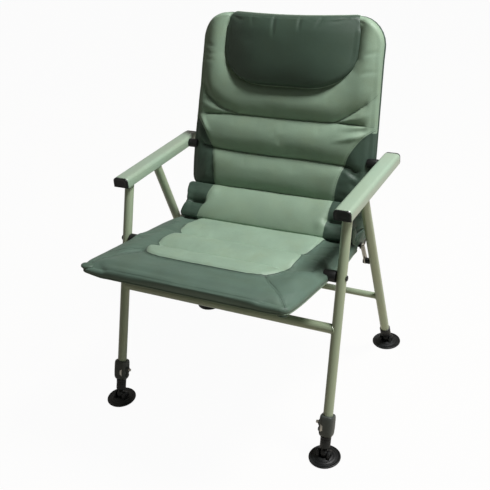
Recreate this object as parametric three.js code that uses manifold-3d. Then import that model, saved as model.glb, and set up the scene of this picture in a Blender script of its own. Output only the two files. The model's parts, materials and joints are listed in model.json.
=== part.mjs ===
// A folding armchair for the bank: tube frame, two armrests, a padded seat and a padded back.
// Millimetres, +Z up, +Y towards the back of the chair, +X to its right-hand armrest as seen
// from the front. The origin is on the floor, under the middle of the chair's outline.

import * as THREE from 'three';
import { mergeVertices } from 'three/addons/utils/BufferGeometryUtils.js';
import Module from 'manifold-3d';

const wasm = await Module();
wasm.setup();

// Driving dimensions of the side view
const seatPivotHeight = 391.8;
const armPinHeight = 528.7;
const armPivotSpan = 248.5;
const rearFootSetback = 461.3;
const frontLegLean = 20.2;
const rearLegLean = 17.3;
const seatSlope = 11.3;
const backRecline = 22.4;
const armSlope = 1.9;

// Across the chair: the front legs from the middle plane, and what stands further in
const frontLegOffset = 276;
const rearLegInset = 6;
const seatRailInset = 50;
const backTubeInset = 7;
const rearLegOffset = frontLegOffset - rearLegInset;
const seatRailOffset = frontLegOffset - seatRailInset;
const backTubeOffset = seatRailOffset - backTubeInset;

// Tubes, bolts and clearances
const tubeRadius = 11;
const tubeWall = 1.2;
const innerLegRadius = 9.5;
const thinTubeRadius = 8;
const boltRadius = 4;
const boltHeadRadius = 7.5;
const boltHeadHeight = 3.6;
const boltGrip = 11;
const joinGap = 0.3;
const turnGap = 0.6;
const plateGap = 0.7;
const cutOverrun = 4;
const roundFacets = 20;
const boltFacets = 12;
const bendSteps = 4;
const bendFacets = 16;
const sleeveFacets = 12;

// Seat
const seatFrontReach = 213.5;
const seatRearGap = 29.3;
const seatRailOverhang = 14.7;
const seatSideCover = 6;
const seatUnderCover = 2.5;
const seatRimDrop = 1;
const seatHalfWidth = seatRailOffset + tubeRadius + seatSideCover;
const seatPadUnder = tubeRadius + seatUnderCover;
const seatPadRim = tubeRadius - seatRimDrop;
const seatPadCrown = 6;
const seatPuff = 4.5;
const seatCorner = 36;
const seatRearCorner = 24;
const seatFrameBend = 30;
const seatDrawIn = 2;
const seatSeamFront = -108;
const seatSeamMiddle = -35;
const seatSeamRear = 60;
const seatSeamHalfWidth = 9;
const seatCreaseLead = 40;
const seatCrossLead = 11.3;

// Back
const backTop = 479;
const backPadStart = 38;
const backSideCover = 6;
const backFrontCover = 2;
const backRearCover = 5;
const backHalfWidth = backTubeOffset + tubeRadius + backSideCover;
const backPadFront = tubeRadius + backFrontCover;
const backPadRear = tubeRadius + backRearCover;
const backPadCrown = 6;
const backPuff = 7;
const backTopSag = 8;
const backTopCorner = 62;
const backLowCorner = 26;
const backFrameBend = 50;
const backFrameDrop = 14;
const backTubeLead = 2.7;
const backDrawIn = 3;
const backSeamHalfWidth = 11;
const backCrossRise = 60;

// Head pillow, and the channels of the back below it
const pillowTopGap = 5;
const pillowHeight = 168;
const upperChannelHeight = 75;
const middleChannelHeight = 94;
const pillowTop = backTop - pillowTopGap;
const pillowLow = pillowTop - pillowHeight;
const backSeamHigh = pillowLow - upperChannelHeight;
const backSeamLow = backSeamHigh - middleChannelHeight;
const pillowHalfWidth = 173;
const pillowLowCornerWidth = 118;
const pillowLowCornerHeight = 80;
const pillowTopCorner = 22;
const pillowRim = 18;
const pillowCrown = 17;
const pillowRoot = 4;

// Padded panel that joins the seat to the back
const panelInset = 15;
const panelHalfWidth = backTubeOffset - panelInset;
const panelCorner = 30;
const panelRim = 5;
const panelCrown = 7;
const panelRoot = 9;
const panelGap = 1.5;

// Cushion mesh counts and shape
const padColumns = 12;
const padCornerRows = 3;
const pillowColumns = 12;
const panelColumns = 12;
const padEdgeRoll = 6;
const padRowGap = 2.5;
const crownPower = 4;

// Armrest channel, its pins and caps
const armWidth = 40;
const armHeight = 24;
const armPinDrop = 15;
const armFrontOverhang = 39.5;
const armRearOverhang = 45;
const armWall = 2;
const armCorner = 9;
const armCornerSteps = 4;
const armCapLength = 5;
const armPinInset = 0.4;
const legTopRise = 5;

// Legs, collars and feet
const collarBottomHeight = 53.5;
const collarLength = 54;
const collarRadius = 17.5;
const collarChamfer = 3;
const collarLip = 8;
const innerLegLength = 200;
const crossbarHeight = 283;
const rearCrossbarHeight = 176;
const ballRadius = 10;
const ballHeight = 15;
const discRadius = 36;
const discRim = 4;
const discRimChamfer = 2;
const discDish = 8.5;
const socketLip = 4;
const socketMouth = 13;
const hubWall = 2;
const hubFlare = 2;
const hubTopRadius = socketMouth + hubWall;
const hubRadius = hubTopRadius + hubFlare;
const hubTopHeight = 24;
const stemRadius = 5;
const stemTop = 12;
const neckRadius = 12;
const neckStart = 24;
const neckBore = 28;
const ferruleTop = 42;
const discFacets = 22;
const ballRows = 8;
const ballFacets = 16;
const socketSteps = 4;

// Leg locks
const lockRise = 25.5;
const lockHeight = collarBottomHeight + lockRise;
const lockPinRadius = 2.6;
const lockHeadRadius = 3.6;
const lockReach = 26;
const lockHeadLength = 6;
const lockBossRadius = 7;
const lockBossReach = 19.5;
const lockClawDrop = 15;
const lockClawRadius = 6;

// Pivot blocks, brackets and stays
const pivotBlockRadius = 13;
const spacerRadius = 11;
const bracketThickness = 3;
const bracketHalfWidth = 12;
const bracketBossRadius = 9;
const stayLead = 37.3;
const stayDrop = 51;
const staySideGap = 4;
const stayOffset = seatHalfWidth + staySideGap;
const stayThickness = 3;
const stayHalfWidth = 8;

const material = {
  paint: new THREE.MeshStandardMaterial({ color: 0x93a98f, roughness: 0.45, metalness: 0.25 }),
  thinPaint: new THREE.MeshStandardMaterial({ color: 0x2b2d2b, roughness: 0.5, metalness: 0.3 }),
  steel: new THREE.MeshStandardMaterial({ color: 0xb9bcbc, roughness: 0.3, metalness: 1 }),
  darkSteel: new THREE.MeshStandardMaterial({ color: 0x2a2c2c, roughness: 0.4, metalness: 0.8 }),
  plastic: new THREE.MeshStandardMaterial({ color: 0x1d201f, roughness: 0.55, metalness: 0 }),
  cloth: new THREE.MeshStandardMaterial({ color: 0x6f8272, roughness: 0.9, metalness: 0 }),
  darkCloth: new THREE.MeshStandardMaterial({ color: 0x37493f, roughness: 0.9, metalness: 0 }),
};

const radians = THREE.MathUtils.degToRad;
const sides = [['left', -1], ['right', 1]];

// Side-view places, as (y, z) with y from the line where the front leg axes meet the floor
const frontLegAt = (height) => new THREE.Vector2(height * Math.tan(radians(frontLegLean)), height);
const rearLegAt = (height) => {
  return new THREE.Vector2(rearFootSetback - height * Math.tan(radians(rearLegLean)), height);
};

// The pins of the armrest lie on one sloping line, which crosses both legs.
const seatPivot = frontLegAt(seatPivotHeight);
const frontArmPivot = frontLegAt(armPinHeight);
const armPinAt = (y) => armPinHeight - (y - frontArmPivot.x) * Math.tan(radians(armSlope));
const rearPinHeight = armPinAt(rearFootSetback)
  / (1 - Math.tan(radians(rearLegLean)) * Math.tan(radians(armSlope)));
const rearArmPivot = rearLegAt(rearPinHeight);
const backArmSetback = frontArmPivot.x + armPivotSpan;
const backArmPivot = new THREE.Vector2(backArmSetback, armPinAt(backArmSetback));
// The back pivot closes a parallelogram with the two front-leg pivots and the armrest pivot.
const backPivot = backArmPivot.clone().sub(frontArmPivot).add(seatPivot);

// Groups, each in its own leaning frame: x across, y rearwards, z up along the leg or the back
function leaningGroup(origin, lean) {
  const group = new THREE.Group();
  group.position.set(0, origin.x, origin.y);
  group.rotation.x = -radians(lean);
  group.userData = { origin, lean };
  return group;
}

const frontGroup = leaningGroup(frontLegAt(0), frontLegLean);
const rearGroup = leaningGroup(rearLegAt(0), -rearLegLean);
const armGroup = leaningGroup(frontArmPivot, armSlope);
const seatGroup = leaningGroup(seatPivot, seatSlope);
const backGroup = leaningGroup(backPivot, backRecline);
const floorGroup = new THREE.Group();

// A side-view place in a group's own frame
function within(group, place) {
  const { origin, lean } = group.userData;
  return place.clone().sub(origin).rotateAround(new THREE.Vector2(), radians(lean));
}

// Places along the seat, from the one under the hinge of the back
const hingeReach = within(seatGroup, backPivot).x;
const seatRailReach = hingeReach + seatRailOverhang;
const seatRearReach = hingeReach - seatRearGap;
const seatCrease = seatRearReach - seatCreaseLead;
const seatCrossReach = hingeReach - seatCrossLead;
const stayReach = hingeReach - stayLead;
const stayTop = new THREE.Vector2(stayReach, 0)
  .rotateAround(new THREE.Vector2(), -radians(seatSlope)).add(seatPivot);
const stayFoot = rearLegAt(stayTop.y - stayDrop);

// Solids
function toSolid(geometry) {
  const bare = geometry.clone();
  bare.deleteAttribute('normal');
  bare.deleteAttribute('uv');
  const merged = mergeVertices(bare);
  const mesh = new wasm.Mesh({
    numProp: 3,
    vertProperties: new Float32Array(merged.attributes.position.array),
    triVerts: new Uint32Array(merged.index.array),
  });
  mesh.merge();
  return new wasm.Manifold(mesh);
}

function toGeometry(solid) {
  const mesh = solid.getMesh();
  const geometry = new THREE.BufferGeometry();
  geometry.setAttribute('position', new THREE.BufferAttribute(mesh.vertProperties, 3));
  geometry.setIndex(new THREE.BufferAttribute(mesh.triVerts, 1));
  geometry.computeVertexNormals();
  return geometry;
}

function addMesh(group, name, solid, look) {
  const mesh = new THREE.Mesh(toGeometry(solid), look);
  mesh.name = name;
  group.add(mesh);
  return mesh;
}

// A round bar along x from one place across the chair to another
function barAcross(from, to, place, radius, facets = roundFacets) {
  const bar = new THREE.CylinderGeometry(radius, radius, Math.abs(to - from), facets);
  bar.rotateZ(Math.PI / 2);
  bar.translate((from + to) / 2, place.x, place.y);
  return toSolid(bar);
}

// A round bar along z, with its axis at x = offset
function barUp(offset, low, high, radius, facets = roundFacets) {
  const bar = new THREE.CylinderGeometry(radius, radius, high - low, facets);
  bar.rotateX(Math.PI / 2);
  bar.translate(offset, 0, (low + high) / 2);
  return toSolid(bar);
}

function tubeUp(offset, low, high, radius) {
  const bore = barUp(offset, low - cutOverrun, high + cutOverrun, radius - tubeWall);
  return barUp(offset, low, high, radius).subtract(bore);
}

// A turned piece: the profile lists (radius, height) from the axis at the bottom to the axis
// at the top, and its axis stands at x = offset
function turned(profile, offset, facets = roundFacets) {
  const lathe = new THREE.LatheGeometry(profile.map(([r, h]) => new THREE.Vector2(r, h)), facets);
  lathe.rotateX(Math.PI / 2);
  lathe.translate(offset, 0, 0);
  return toSolid(lathe);
}

function boltHole(side, from, to, place, clearance = joinGap) {
  return barAcross(side * from, side * to, place, boltRadius + clearance, boltFacets);
}

// A bolt across the chair with its head at one end
function bolt(side, tip, seatOfHead, place, headOutwards) {
  const headEnd = seatOfHead + (headOutwards ? boltHeadHeight : -boltHeadHeight);
  const shaft = barAcross(side * tip, side * headEnd, place, boltRadius, boltFacets);
  const head = barAcross(side * seatOfHead, side * headEnd, place, boltHeadRadius, boltFacets);
  return shaft.add(head);
}

// A path of straight runs and arcs, walked knot by knot so that straight runs take one step
class KnotPath extends THREE.Curve {
  constructor(knots) {
    super();
    this.knots = knots;
  }

  getPoint(t, target = new THREE.Vector3()) {
    const along = t * (this.knots.length - 1);
    const index = Math.min(Math.floor(along), this.knots.length - 2);
    return target.lerpVectors(this.knots[index], this.knots[index + 1], along - index);
  }

  getPointAt(u, target) {
    return this.getPoint(u, target);
  }

  getTangentAt(u, target = new THREE.Vector3()) {
    const here = Math.round(u * (this.knots.length - 1));
    const before = this.knots[Math.max(here - 1, 0)];
    const after = this.knots[Math.min(here + 1, this.knots.length - 1)];
    const backward = this.knots[here].clone().sub(before).normalize();
    const forward = after.clone().sub(this.knots[here]).normalize();
    return target.addVectors(backward, forward).normalize();
  }
}

// A U in the plane of x and one other direction: two legs joined by a bar with round corners
function uPath(halfWidth, legEnd, barAt, bend, place) {
  const towards = Math.sign(barAt - legEnd);
  const knots = [place(-halfWidth, legEnd)];
  for (const side of [-1, 1]) {
    for (let step = 0; step <= bendSteps; step += 1) {
      const turn = (side < 0 ? step : bendSteps - step) / bendSteps * Math.PI / 2;
      const x = side * (halfWidth - bend + bend * Math.cos(turn));
      knots.push(place(x, barAt - towards * (bend - bend * Math.sin(turn))));
    }
  }
  knots.push(place(halfWidth, legEnd));
  return new KnotPath(knots);
}

function sweep(path, radius, facets = bendFacets) {
  const steps = path.knots.length - 1;
  const settings = { steps, extrudePath: path, bevelEnabled: false };
  const points = [];
  for (let step = 0; step < facets; step += 1) {
    const turn = 2 * Math.PI * step / facets;
    points.push(new THREE.Vector2(radius * Math.cos(turn), radius * Math.sin(turn)));
  }
  return toSolid(new THREE.ExtrudeGeometry(new THREE.Shape(points), settings));
}

// The same path with its two ends drawn out straight
function drawnOut(path, length) {
  const knots = path.knots.map((knot) => knot.clone());
  const last = knots.length - 1;
  knots[0].add(knots[0].clone().sub(knots[1]).setLength(length));
  knots[last].add(knots[last].clone().sub(knots[last - 1]).setLength(length));
  return new KnotPath(knots);
}

// The space that a bent tube takes up in a cushion
function sleeve(path, clearance) {
  const radius = (tubeRadius + clearance) / Math.cos(Math.PI / sleeveFacets);
  return sweep(drawnOut(path, cutOverrun), radius, sleeveFacets);
}

function bentTube(path, radius) {
  return sweep(path, radius).subtract(sweep(drawnOut(path, cutOverrun), radius - tubeWall));
}

// A plate in the side plane with round ends, between two places, thick across the chair
function stayPlate(side, offset, thickness, halfWidth, from, to) {
  const round = (place) => {
    return barAcross(side * offset, side * (offset + thickness), place, halfWidth);
  };
  const run = to.clone().sub(from);
  const web = new THREE.BoxGeometry(thickness, run.length(), 2 * halfWidth);
  web.rotateX(run.angle());
  web.translate(side * (offset + thickness / 2), (from.x + to.x) / 2, (from.y + to.y) / 2);
  return round(from).add(round(to)).add(toSolid(web));
}

// Cushions are made with x across, y along and z out of the face.
// The half width at a place along the cushion, drawn in between its corners
function halfWidthAt(pad, along) {
  const span = (pad.end - pad.start) / 2;
  const share = (along - pad.start - span) / span;
  let half = pad.halfWidth - pad.drawIn * (1 - share * share);
  const low = along - pad.start;
  const high = pad.end - along;
  if (low < pad.lowCorner[1]) {
    const drop = 1 - low / pad.lowCorner[1];
    half -= pad.lowCorner[0] * (1 - Math.sqrt(Math.max(0, 1 - drop * drop)));
  }
  if (high < pad.highCorner[1]) {
    const drop = 1 - high / pad.highCorner[1];
    half -= pad.highCorner[0] * (1 - Math.sqrt(Math.max(0, 1 - drop * drop)));
  }
  return half;
}

// Rows along the cushion: close together round its corners and its seams
function padRows(pad) {
  const rows = [];
  for (let step = 0; step < padCornerRows; step += 1) {
    const share = 1 - Math.cos(step / padCornerRows * Math.PI / 2);
    rows.push(pad.start + share * pad.lowCorner[1], pad.end - share * pad.highCorner[1]);
  }
  const marks = [pad.start, ...pad.seams, pad.end];
  for (const seam of pad.seams) {
    rows.push(seam - pad.seamHalfWidth, seam, seam + pad.seamHalfWidth);
  }
  for (let index = 1; index < marks.length; index += 1) {
    for (let step = 1; step < pad.panelRows; step += 1) {
      rows.push(marks[index - 1] + (marks[index] - marks[index - 1]) * step / pad.panelRows);
    }
  }
  rows.sort((one, other) => one - other);
  return rows.filter((row, index) => index === 0 || row - rows[index - 1] > pad.rowGap);
}

// The face: a crown over the whole cushion and a puff between each pair of seams
function faceHeight(pad, share, along) {
  const marks = [pad.start, ...pad.seams, pad.end];
  const index = Math.max(1, marks.findIndex((mark) => mark >= along));
  const local = (along - marks[index - 1]) / (marks[index] - marks[index - 1]);
  const whole = (2 * along - pad.start - pad.end) / (pad.end - pad.start);
  const across = 1 - Math.abs(share) ** crownPower;
  const lengthwise = 1 - Math.abs(whole) ** crownPower;
  const puff = Math.sqrt(Math.max(0, Math.sin(Math.PI * local)));
  return pad.rim + across * (pad.crown * lengthwise + pad.puff * puff);
}

function cushion(pad) {
  const rows = padRows(pad);
  const last = rows.length - 1;
  const sag = (share, along) => {
    const reach = (along - pad.start) / (pad.end - pad.start);
    return along - pad.endSag * (1 - share * share) * reach ** crownPower;
  };
  const positions = [];
  const faces = [];
  const put = (x, y, z) => positions.push(x, y, z) / 3 - 1;
  const squeeze = (value, by) => value - Math.sign(value) * Math.min(Math.abs(value), by);
  const middle = (pad.start + pad.end) / 2;
  const place = (column, row, inset, height) => {
    const share = 2 * column / pad.columns - 1;
    const x = squeeze(share * halfWidthAt(pad, rows[row]), inset * Math.abs(share));
    const along = middle + squeeze(sag(share, rows[row]) - middle,
      inset * Math.abs(rows[row] - middle) / (pad.end - middle));
    return put(x, along, height ?? faceHeight(pad, share, rows[row]));
  };
  const grid = rows.map((_, row) => {
    return Array.from({ length: pad.columns + 1 }, (_, column) => place(column, row, pad.roll));
  });
  for (let row = 0; row < last; row += 1) {
    for (let column = 0; column < pad.columns; column += 1) {
      const corners = [grid[row][column], grid[row][column + 1],
        grid[row + 1][column + 1], grid[row + 1][column]];
      faces.push(corners[0], corners[1], corners[2], corners[0], corners[2], corners[3]);
    }
  }
  const border = [];
  for (let column = 0; column < pad.columns; column += 1) border.push([column, 0]);
  for (let row = 0; row < last; row += 1) border.push([pad.columns, row]);
  for (let column = pad.columns; column > 0; column -= 1) border.push([column, last]);
  for (let row = last; row > 0; row -= 1) border.push([0, row]);
  const rings = [border.map(([column, row]) => grid[row][column])];
  const drop = (pad.rim + pad.root) / 2;
  for (const [inset, height] of [[0, pad.rim - Math.min(pad.roll, drop)],
    [0, Math.min(pad.roll, drop) - pad.root - joinGap], [pad.roll, -pad.root]]) {
    rings.push(border.map(([column, row]) => place(column, row, inset, height)));
  }
  for (let ring = 1; ring < rings.length; ring += 1) {
    for (let index = 0; index < border.length; index += 1) {
      const next = (index + 1) % border.length;
      const [a, b] = [rings[ring - 1][index], rings[ring - 1][next]];
      const [c, d] = [rings[ring][next], rings[ring][index]];
      faces.push(a, d, c, a, c, b);
    }
  }
  const floor = rings[rings.length - 1];
  const outline = floor.map((id) => new THREE.Vector2(positions[3 * id], positions[3 * id + 1]));
  for (const [a, b, c] of THREE.ShapeUtils.triangulateShape(outline, [])) {
    faces.push(floor[a], floor[c], floor[b]);
  }
  const geometry = new THREE.BufferGeometry();
  geometry.setAttribute('position', new THREE.Float32BufferAttribute(positions, 3));
  geometry.setIndex(faces);
  return geometry;
}

// Front frame: two legs, the crossbar, the collars and what is bolted to the legs
const pinPlace = within(frontGroup, frontArmPivot);
const pivotPlace = within(frontGroup, seatPivot);
const alongFrontLeg = (height) => within(frontGroup, frontLegAt(height)).y;
const alongRearLeg = (height) => within(rearGroup, rearLegAt(height)).y;
const lockPlace = new THREE.Vector2(0, alongFrontLeg(lockHeight));
const collarBottom = alongFrontLeg(collarBottomHeight);
const armInner = frontLegOffset - armWidth / 2;
const armOuter = frontLegOffset + armWidth / 2;
const railOuter = seatRailOffset + tubeRadius;
const legInner = frontLegOffset - tubeRadius;
const legOuter = frontLegOffset + tubeRadius;

function frontLeg(side) {
  const low = collarBottom + collarLip;
  const leg = tubeUp(side * frontLegOffset, low, pinPlace.y + legTopRise, tubeRadius);
  const lockHole = barAcross(side * (legInner - cutOverrun), side * frontLegOffset, lockPlace,
    lockPinRadius + joinGap, boltFacets);
  return leg
    .subtract(boltHole(side, legInner - cutOverrun, legOuter + cutOverrun, pinPlace))
    .subtract(boltHole(side, legInner - cutOverrun, legOuter + cutOverrun, pivotPlace))
    .subtract(lockHole);
}

function frontCrossbar() {
  const place = new THREE.Vector2(0, alongFrontLeg(crossbarHeight));
  const bar = barAcross(-frontLegOffset, frontLegOffset, place, tubeRadius);
  const bore = barAcross(-frontLegOffset, frontLegOffset, place, tubeRadius - tubeWall);
  const [left, right] = sides.map(([, side]) => {
    return barUp(side * frontLegOffset, place.y - 2 * tubeRadius, place.y + 2 * tubeRadius,
      tubeRadius + joinGap);
  });
  return bar.subtract(bore).subtract(left).subtract(right);
}

function legCollar(side) {
  const bevel = collarRadius - collarChamfer;
  const body = turned([
    [0, collarBottom],
    [bevel, collarBottom],
    [collarRadius, collarBottom + 2 * collarChamfer],
    [collarRadius, collarBottom + collarLength - collarChamfer],
    [bevel, collarBottom + collarLength],
    [0, collarBottom + collarLength],
  ], side * frontLegOffset);
  const bossEnd = side * (frontLegOffset - lockBossReach);
  const boss = barAcross(side * frontLegOffset, bossEnd, lockPlace, lockBossRadius);
  const clawPlace = new THREE.Vector2(0, lockPlace.y - lockClawDrop);
  const claw = barAcross(side * frontLegOffset, bossEnd, clawPlace, lockClawRadius);
  const sleeveBore = barUp(side * frontLegOffset, collarBottom + collarLip - joinGap,
    collarBottom + collarLength + cutOverrun, tubeRadius + joinGap);
  const lipBore = barUp(side * frontLegOffset, collarBottom - cutOverrun,
    collarBottom + collarLength, innerLegRadius + joinGap);
  const pinBore = barAcross(side * frontLegOffset, side * (frontLegOffset - lockReach), lockPlace,
    lockPinRadius + joinGap, boltFacets);
  return body.add(boss).add(claw).subtract(sleeveBore).subtract(lipBore).subtract(pinBore);
}

function lockPin(side) {
  const tip = side * (frontLegOffset - innerLegRadius - turnGap);
  const end = side * (frontLegOffset - lockReach);
  const headSeat = side * (frontLegOffset - lockReach + lockHeadLength);
  const shaft = barAcross(tip, end, lockPlace, lockPinRadius, boltFacets);
  return shaft.add(barAcross(headSeat, end, lockPlace, lockHeadRadius, boltFacets));
}

// The ball sits on the leg's axis; the stem, neck and ferrule are measured from its centre.
function ballStem(offset, centre, neckTop, radius, boreRadius) {
  const plug = turned([
    [0, centre],
    [stemRadius, centre],
    [stemRadius, centre + stemTop],
    [radius, centre + neckStart],
    [radius, neckTop],
    [0, neckTop],
  ], offset);
  const ball = new THREE.SphereGeometry(ballRadius + joinGap, ballFacets, ballRows);
  ball.rotateX(Math.PI / 2);
  ball.translate(offset, 0, centre);
  const bore = barUp(offset, centre + neckBore, neckTop + cutOverrun, boreRadius);
  return plug.subtract(toSolid(ball)).subtract(bore);
}

const frontBall = alongFrontLeg(ballHeight);
const rearBall = alongRearLeg(ballHeight);

for (const [name, side] of sides) {
  const x = side * frontLegOffset;
  addMesh(frontGroup, `front_leg_${name}`, frontLeg(side), material.paint);
  addMesh(frontGroup, `leg_collar_${name}`, legCollar(side), material.plastic);
  addMesh(frontGroup, `lock_pin_${name}`, lockPin(side), material.steel);
  const block = barAcross(side * (railOuter + joinGap), side * (legInner - joinGap), pivotPlace,
    pivotBlockRadius);
  const blockHole = boltHole(side, railOuter - cutOverrun, legInner + cutOverrun, pivotPlace);
  addMesh(frontGroup, `pivot_block_${name}`, block.subtract(blockHole), material.plastic);
  addMesh(frontGroup, `seat_pivot_bolt_${name}`,
    bolt(side, railOuter - boltGrip, legOuter + joinGap, pivotPlace, true), material.darkSteel);
  addMesh(frontGroup, `arm_front_pin_${name}`, barAcross(side * (armInner + armPinInset),
    side * (armOuter - armPinInset), pinPlace, boltRadius, boltFacets), material.steel);
  const innerLow = frontBall + neckBore + joinGap;
  addMesh(frontGroup, `inner_leg_${name}`,
    tubeUp(x, innerLow, innerLow + innerLegLength, innerLegRadius), material.thinPaint);
  addMesh(frontGroup, `foot_neck_${name}`, ballStem(x, frontBall, collarBottom - plateGap,
    neckRadius, innerLegRadius + joinGap), material.plastic);
}
addMesh(frontGroup, 'front_crossbar', frontCrossbar(), material.paint);

// Rear frame: two legs, a thin crossbar, ferrules and the lower ends of the stays
const rearPinPlace = within(rearGroup, rearArmPivot);
const stayFootPlace = within(rearGroup, stayFoot);
const rearLegInner = rearLegOffset - tubeRadius;
const rearLegOuter = rearLegOffset + tubeRadius;

for (const [name, side] of sides) {
  const x = side * rearLegOffset;
  const low = rearBall + neckBore + joinGap;
  const leg = tubeUp(x, low, rearPinPlace.y + legTopRise, tubeRadius)
    .subtract(boltHole(side, rearLegInner - cutOverrun, rearLegOuter + cutOverrun, rearPinPlace))
    .subtract(boltHole(side, rearLegInner - cutOverrun, rearLegOffset, stayFootPlace));
  addMesh(rearGroup, `rear_leg_${name}`, leg, material.paint);
  addMesh(rearGroup, `rear_ferrule_${name}`, ballStem(x, rearBall, rearBall + ferruleTop,
    neckRadius + tubeWall, tubeRadius + joinGap), material.plastic);
  addMesh(rearGroup, `rear_leg_pin_${name}`, barAcross(side * (armInner + armPinInset),
    side * (armOuter - armPinInset), rearPinPlace, boltRadius, boltFacets), material.steel);
  const spacer = barAcross(side * (stayOffset + stayThickness + joinGap),
    side * (rearLegInner - joinGap), stayFootPlace, boltHeadRadius, boltFacets);
  addMesh(rearGroup, `stay_bolt_${name}`, spacer.add(
    bolt(side, rearLegInner + boltGrip, stayOffset - joinGap, stayFootPlace, false),
  ), material.darkSteel);
}

function rearCrossbar() {
  const place = new THREE.Vector2(0, alongRearLeg(rearCrossbarHeight));
  const bar = barAcross(-rearLegOffset, rearLegOffset, place, thinTubeRadius);
  const bore = barAcross(-rearLegOffset, rearLegOffset, place, thinTubeRadius - tubeWall);
  const [left, right] = sides.map(([, side]) => {
    return barUp(side * rearLegOffset, place.y - 2 * tubeRadius, place.y + 2 * tubeRadius,
      tubeRadius + joinGap);
  });
  return bar.subtract(bore).subtract(left).subtract(right);
}
addMesh(rearGroup, 'rear_crossbar', rearCrossbar(), material.paint);

// Swivel feet: a ball on each leg and a wide disc with a socket round the ball
function footDisc() {
  const socket = ballRadius + turnGap;
  const lipRadius = Math.sqrt(socket * socket - socketLip * socketLip);
  const profile = [
    [0, 0],
    [discRadius, 0],
    [discRadius, discRim],
    [discRadius - discRimChamfer, discRim + discRimChamfer],
    [hubRadius, discDish],
    [hubTopRadius, hubTopHeight],
    [socketMouth, hubTopHeight],
    [lipRadius, ballHeight + socketLip],
  ];
  const lipTurn = Math.atan2(socketLip, lipRadius);
  for (let step = 1; step <= socketSteps; step += 1) {
    const turn = lipTurn - (lipTurn + Math.PI / 2) * step / socketSteps;
    const radius = step === socketSteps ? 0 : socket * Math.cos(turn);
    profile.push([radius, ballHeight + socket * Math.sin(turn)]);
  }
  return turned(profile, 0, discFacets);
}

for (const [end, place, offset] of [
  ['front', frontLegAt(ballHeight), frontLegOffset],
  ['rear', rearLegAt(ballHeight), rearLegOffset],
]) {
  for (const [name, side] of sides) {
    const ball = new THREE.SphereGeometry(ballRadius, ballFacets, ballRows);
    ball.rotateX(Math.PI / 2);
    const ballMesh = addMesh(floorGroup, `foot_ball_${end}_${name}`, toSolid(ball),
      material.plastic);
    ballMesh.position.set(side * offset, place.x, ballHeight);
    const disc = addMesh(floorGroup, `foot_disc_${end}_${name}`, footDisc(), material.plastic);
    disc.position.set(side * offset, place.x, 0);
  }
}

// Armrests: a channel open below, a cap at each end, and the pivots of the back
function armOutline(inset) {
  const half = armWidth / 2 - inset;
  const top = armPinDrop - inset;
  const low = armPinDrop - armHeight;
  const corner = armCorner - inset;
  const points = [[-half, low], [half, low]];
  for (const side of [1, -1]) {
    for (let step = 0; step <= armCornerSteps; step += 1) {
      const turn = (side > 0 ? step : armCornerSteps - step) / armCornerSteps * Math.PI / 2;
      points.push([side * (half - corner + corner * Math.cos(turn)),
        top - corner + corner * Math.sin(turn)]);
    }
  }
  return points.map(([x, z]) => new THREE.Vector2(x, z));
}

// The outline runs along y from one place to another.
function alongArm(outline, from, to, offset) {
  const settings = { depth: to - from, bevelEnabled: false, steps: 1 };
  const bar = new THREE.ExtrudeGeometry(new THREE.Shape(outline), settings);
  bar.rotateX(Math.PI / 2);
  bar.translate(offset, to, 0);
  return toSolid(bar);
}

const armFrontPlace = within(armGroup, frontArmPivot);
const armRearPlace = within(armGroup, rearArmPivot);
const armBackPlace = within(armGroup, backArmPivot);
const armStart = armFrontPlace.x - armFrontOverhang;
const armEnd = armBackPlace.x + armRearOverhang;
const backTubeOuter = backTubeOffset + tubeRadius;

for (const [name, side] of sides) {
  const x = side * frontLegOffset;
  const hollow = armOutline(armWall);
  const lowest = armPinDrop - armHeight;
  hollow.slice(0, 2).forEach((corner) => corner.setY(lowest - cutOverrun));
  let channel = alongArm(armOutline(0), armStart + armCapLength, armEnd - armCapLength, x)
    .subtract(alongArm(hollow, armStart, armEnd, x));
  for (const place of [armFrontPlace, armRearPlace, armBackPlace]) {
    const through = place === armBackPlace ? frontLegOffset : armOuter + cutOverrun;
    channel = channel.subtract(boltHole(side, armInner - cutOverrun, through, place));
  }
  addMesh(armGroup, `armrest_${name}`, channel, material.paint);
  addMesh(armGroup, `arm_cap_front_${name}`,
    alongArm(armOutline(0), armStart, armStart + armCapLength - joinGap, x), material.plastic);
  addMesh(armGroup, `arm_cap_rear_${name}`,
    alongArm(armOutline(0), armEnd - armCapLength + joinGap, armEnd, x), material.plastic);
  const spacer = barAcross(side * (backTubeOuter + turnGap), side * (armInner - joinGap),
    armBackPlace, spacerRadius);
  const spacerHole = boltHole(side, backTubeOuter - cutOverrun, armInner, armBackPlace);
  addMesh(armGroup, `back_spacer_${name}`, spacer.subtract(spacerHole), material.plastic);
  addMesh(armGroup, `back_bolt_${name}`, bolt(side, backTubeOuter - boltGrip,
    armInner + armWall + joinGap, armBackPlace, true), material.darkSteel);
}

// Seat: a bent frame, a cross tube, side plates that carry the back, and the padded cover
const seatPlane = (x, along) => new THREE.Vector3(x, along, 0);
const seatBarAt = seatPadUnder - seatFrontReach;
const seatPath = uPath(seatRailOffset, seatRailReach, seatBarAt, seatFrameBend, seatPlane);
const railPivot = new THREE.Vector2(0, 0);
const stayTopPlace = new THREE.Vector2(stayReach, 0);
const plateFoot = new THREE.Vector2(hingeReach, 0);
const plateHead = within(seatGroup, backPivot);

function seatFrame() {
  let frame = bentTube(seatPath, tubeRadius);
  for (const [, side] of sides) {
    for (const place of [railPivot, stayTopPlace, plateFoot]) {
      frame = frame.subtract(boltHole(side, seatRailOffset, railOuter + cutOverrun, place));
    }
  }
  return frame;
}

function seatCrossTube() {
  const place = new THREE.Vector2(seatCrossReach, 0);
  const bar = barAcross(-seatRailOffset, seatRailOffset, place, thinTubeRadius);
  const bore = barAcross(-seatRailOffset, seatRailOffset, place, thinTubeRadius - tubeWall);
  return bar.subtract(bore).subtract(sleeve(seatPath, joinGap));
}

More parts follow.
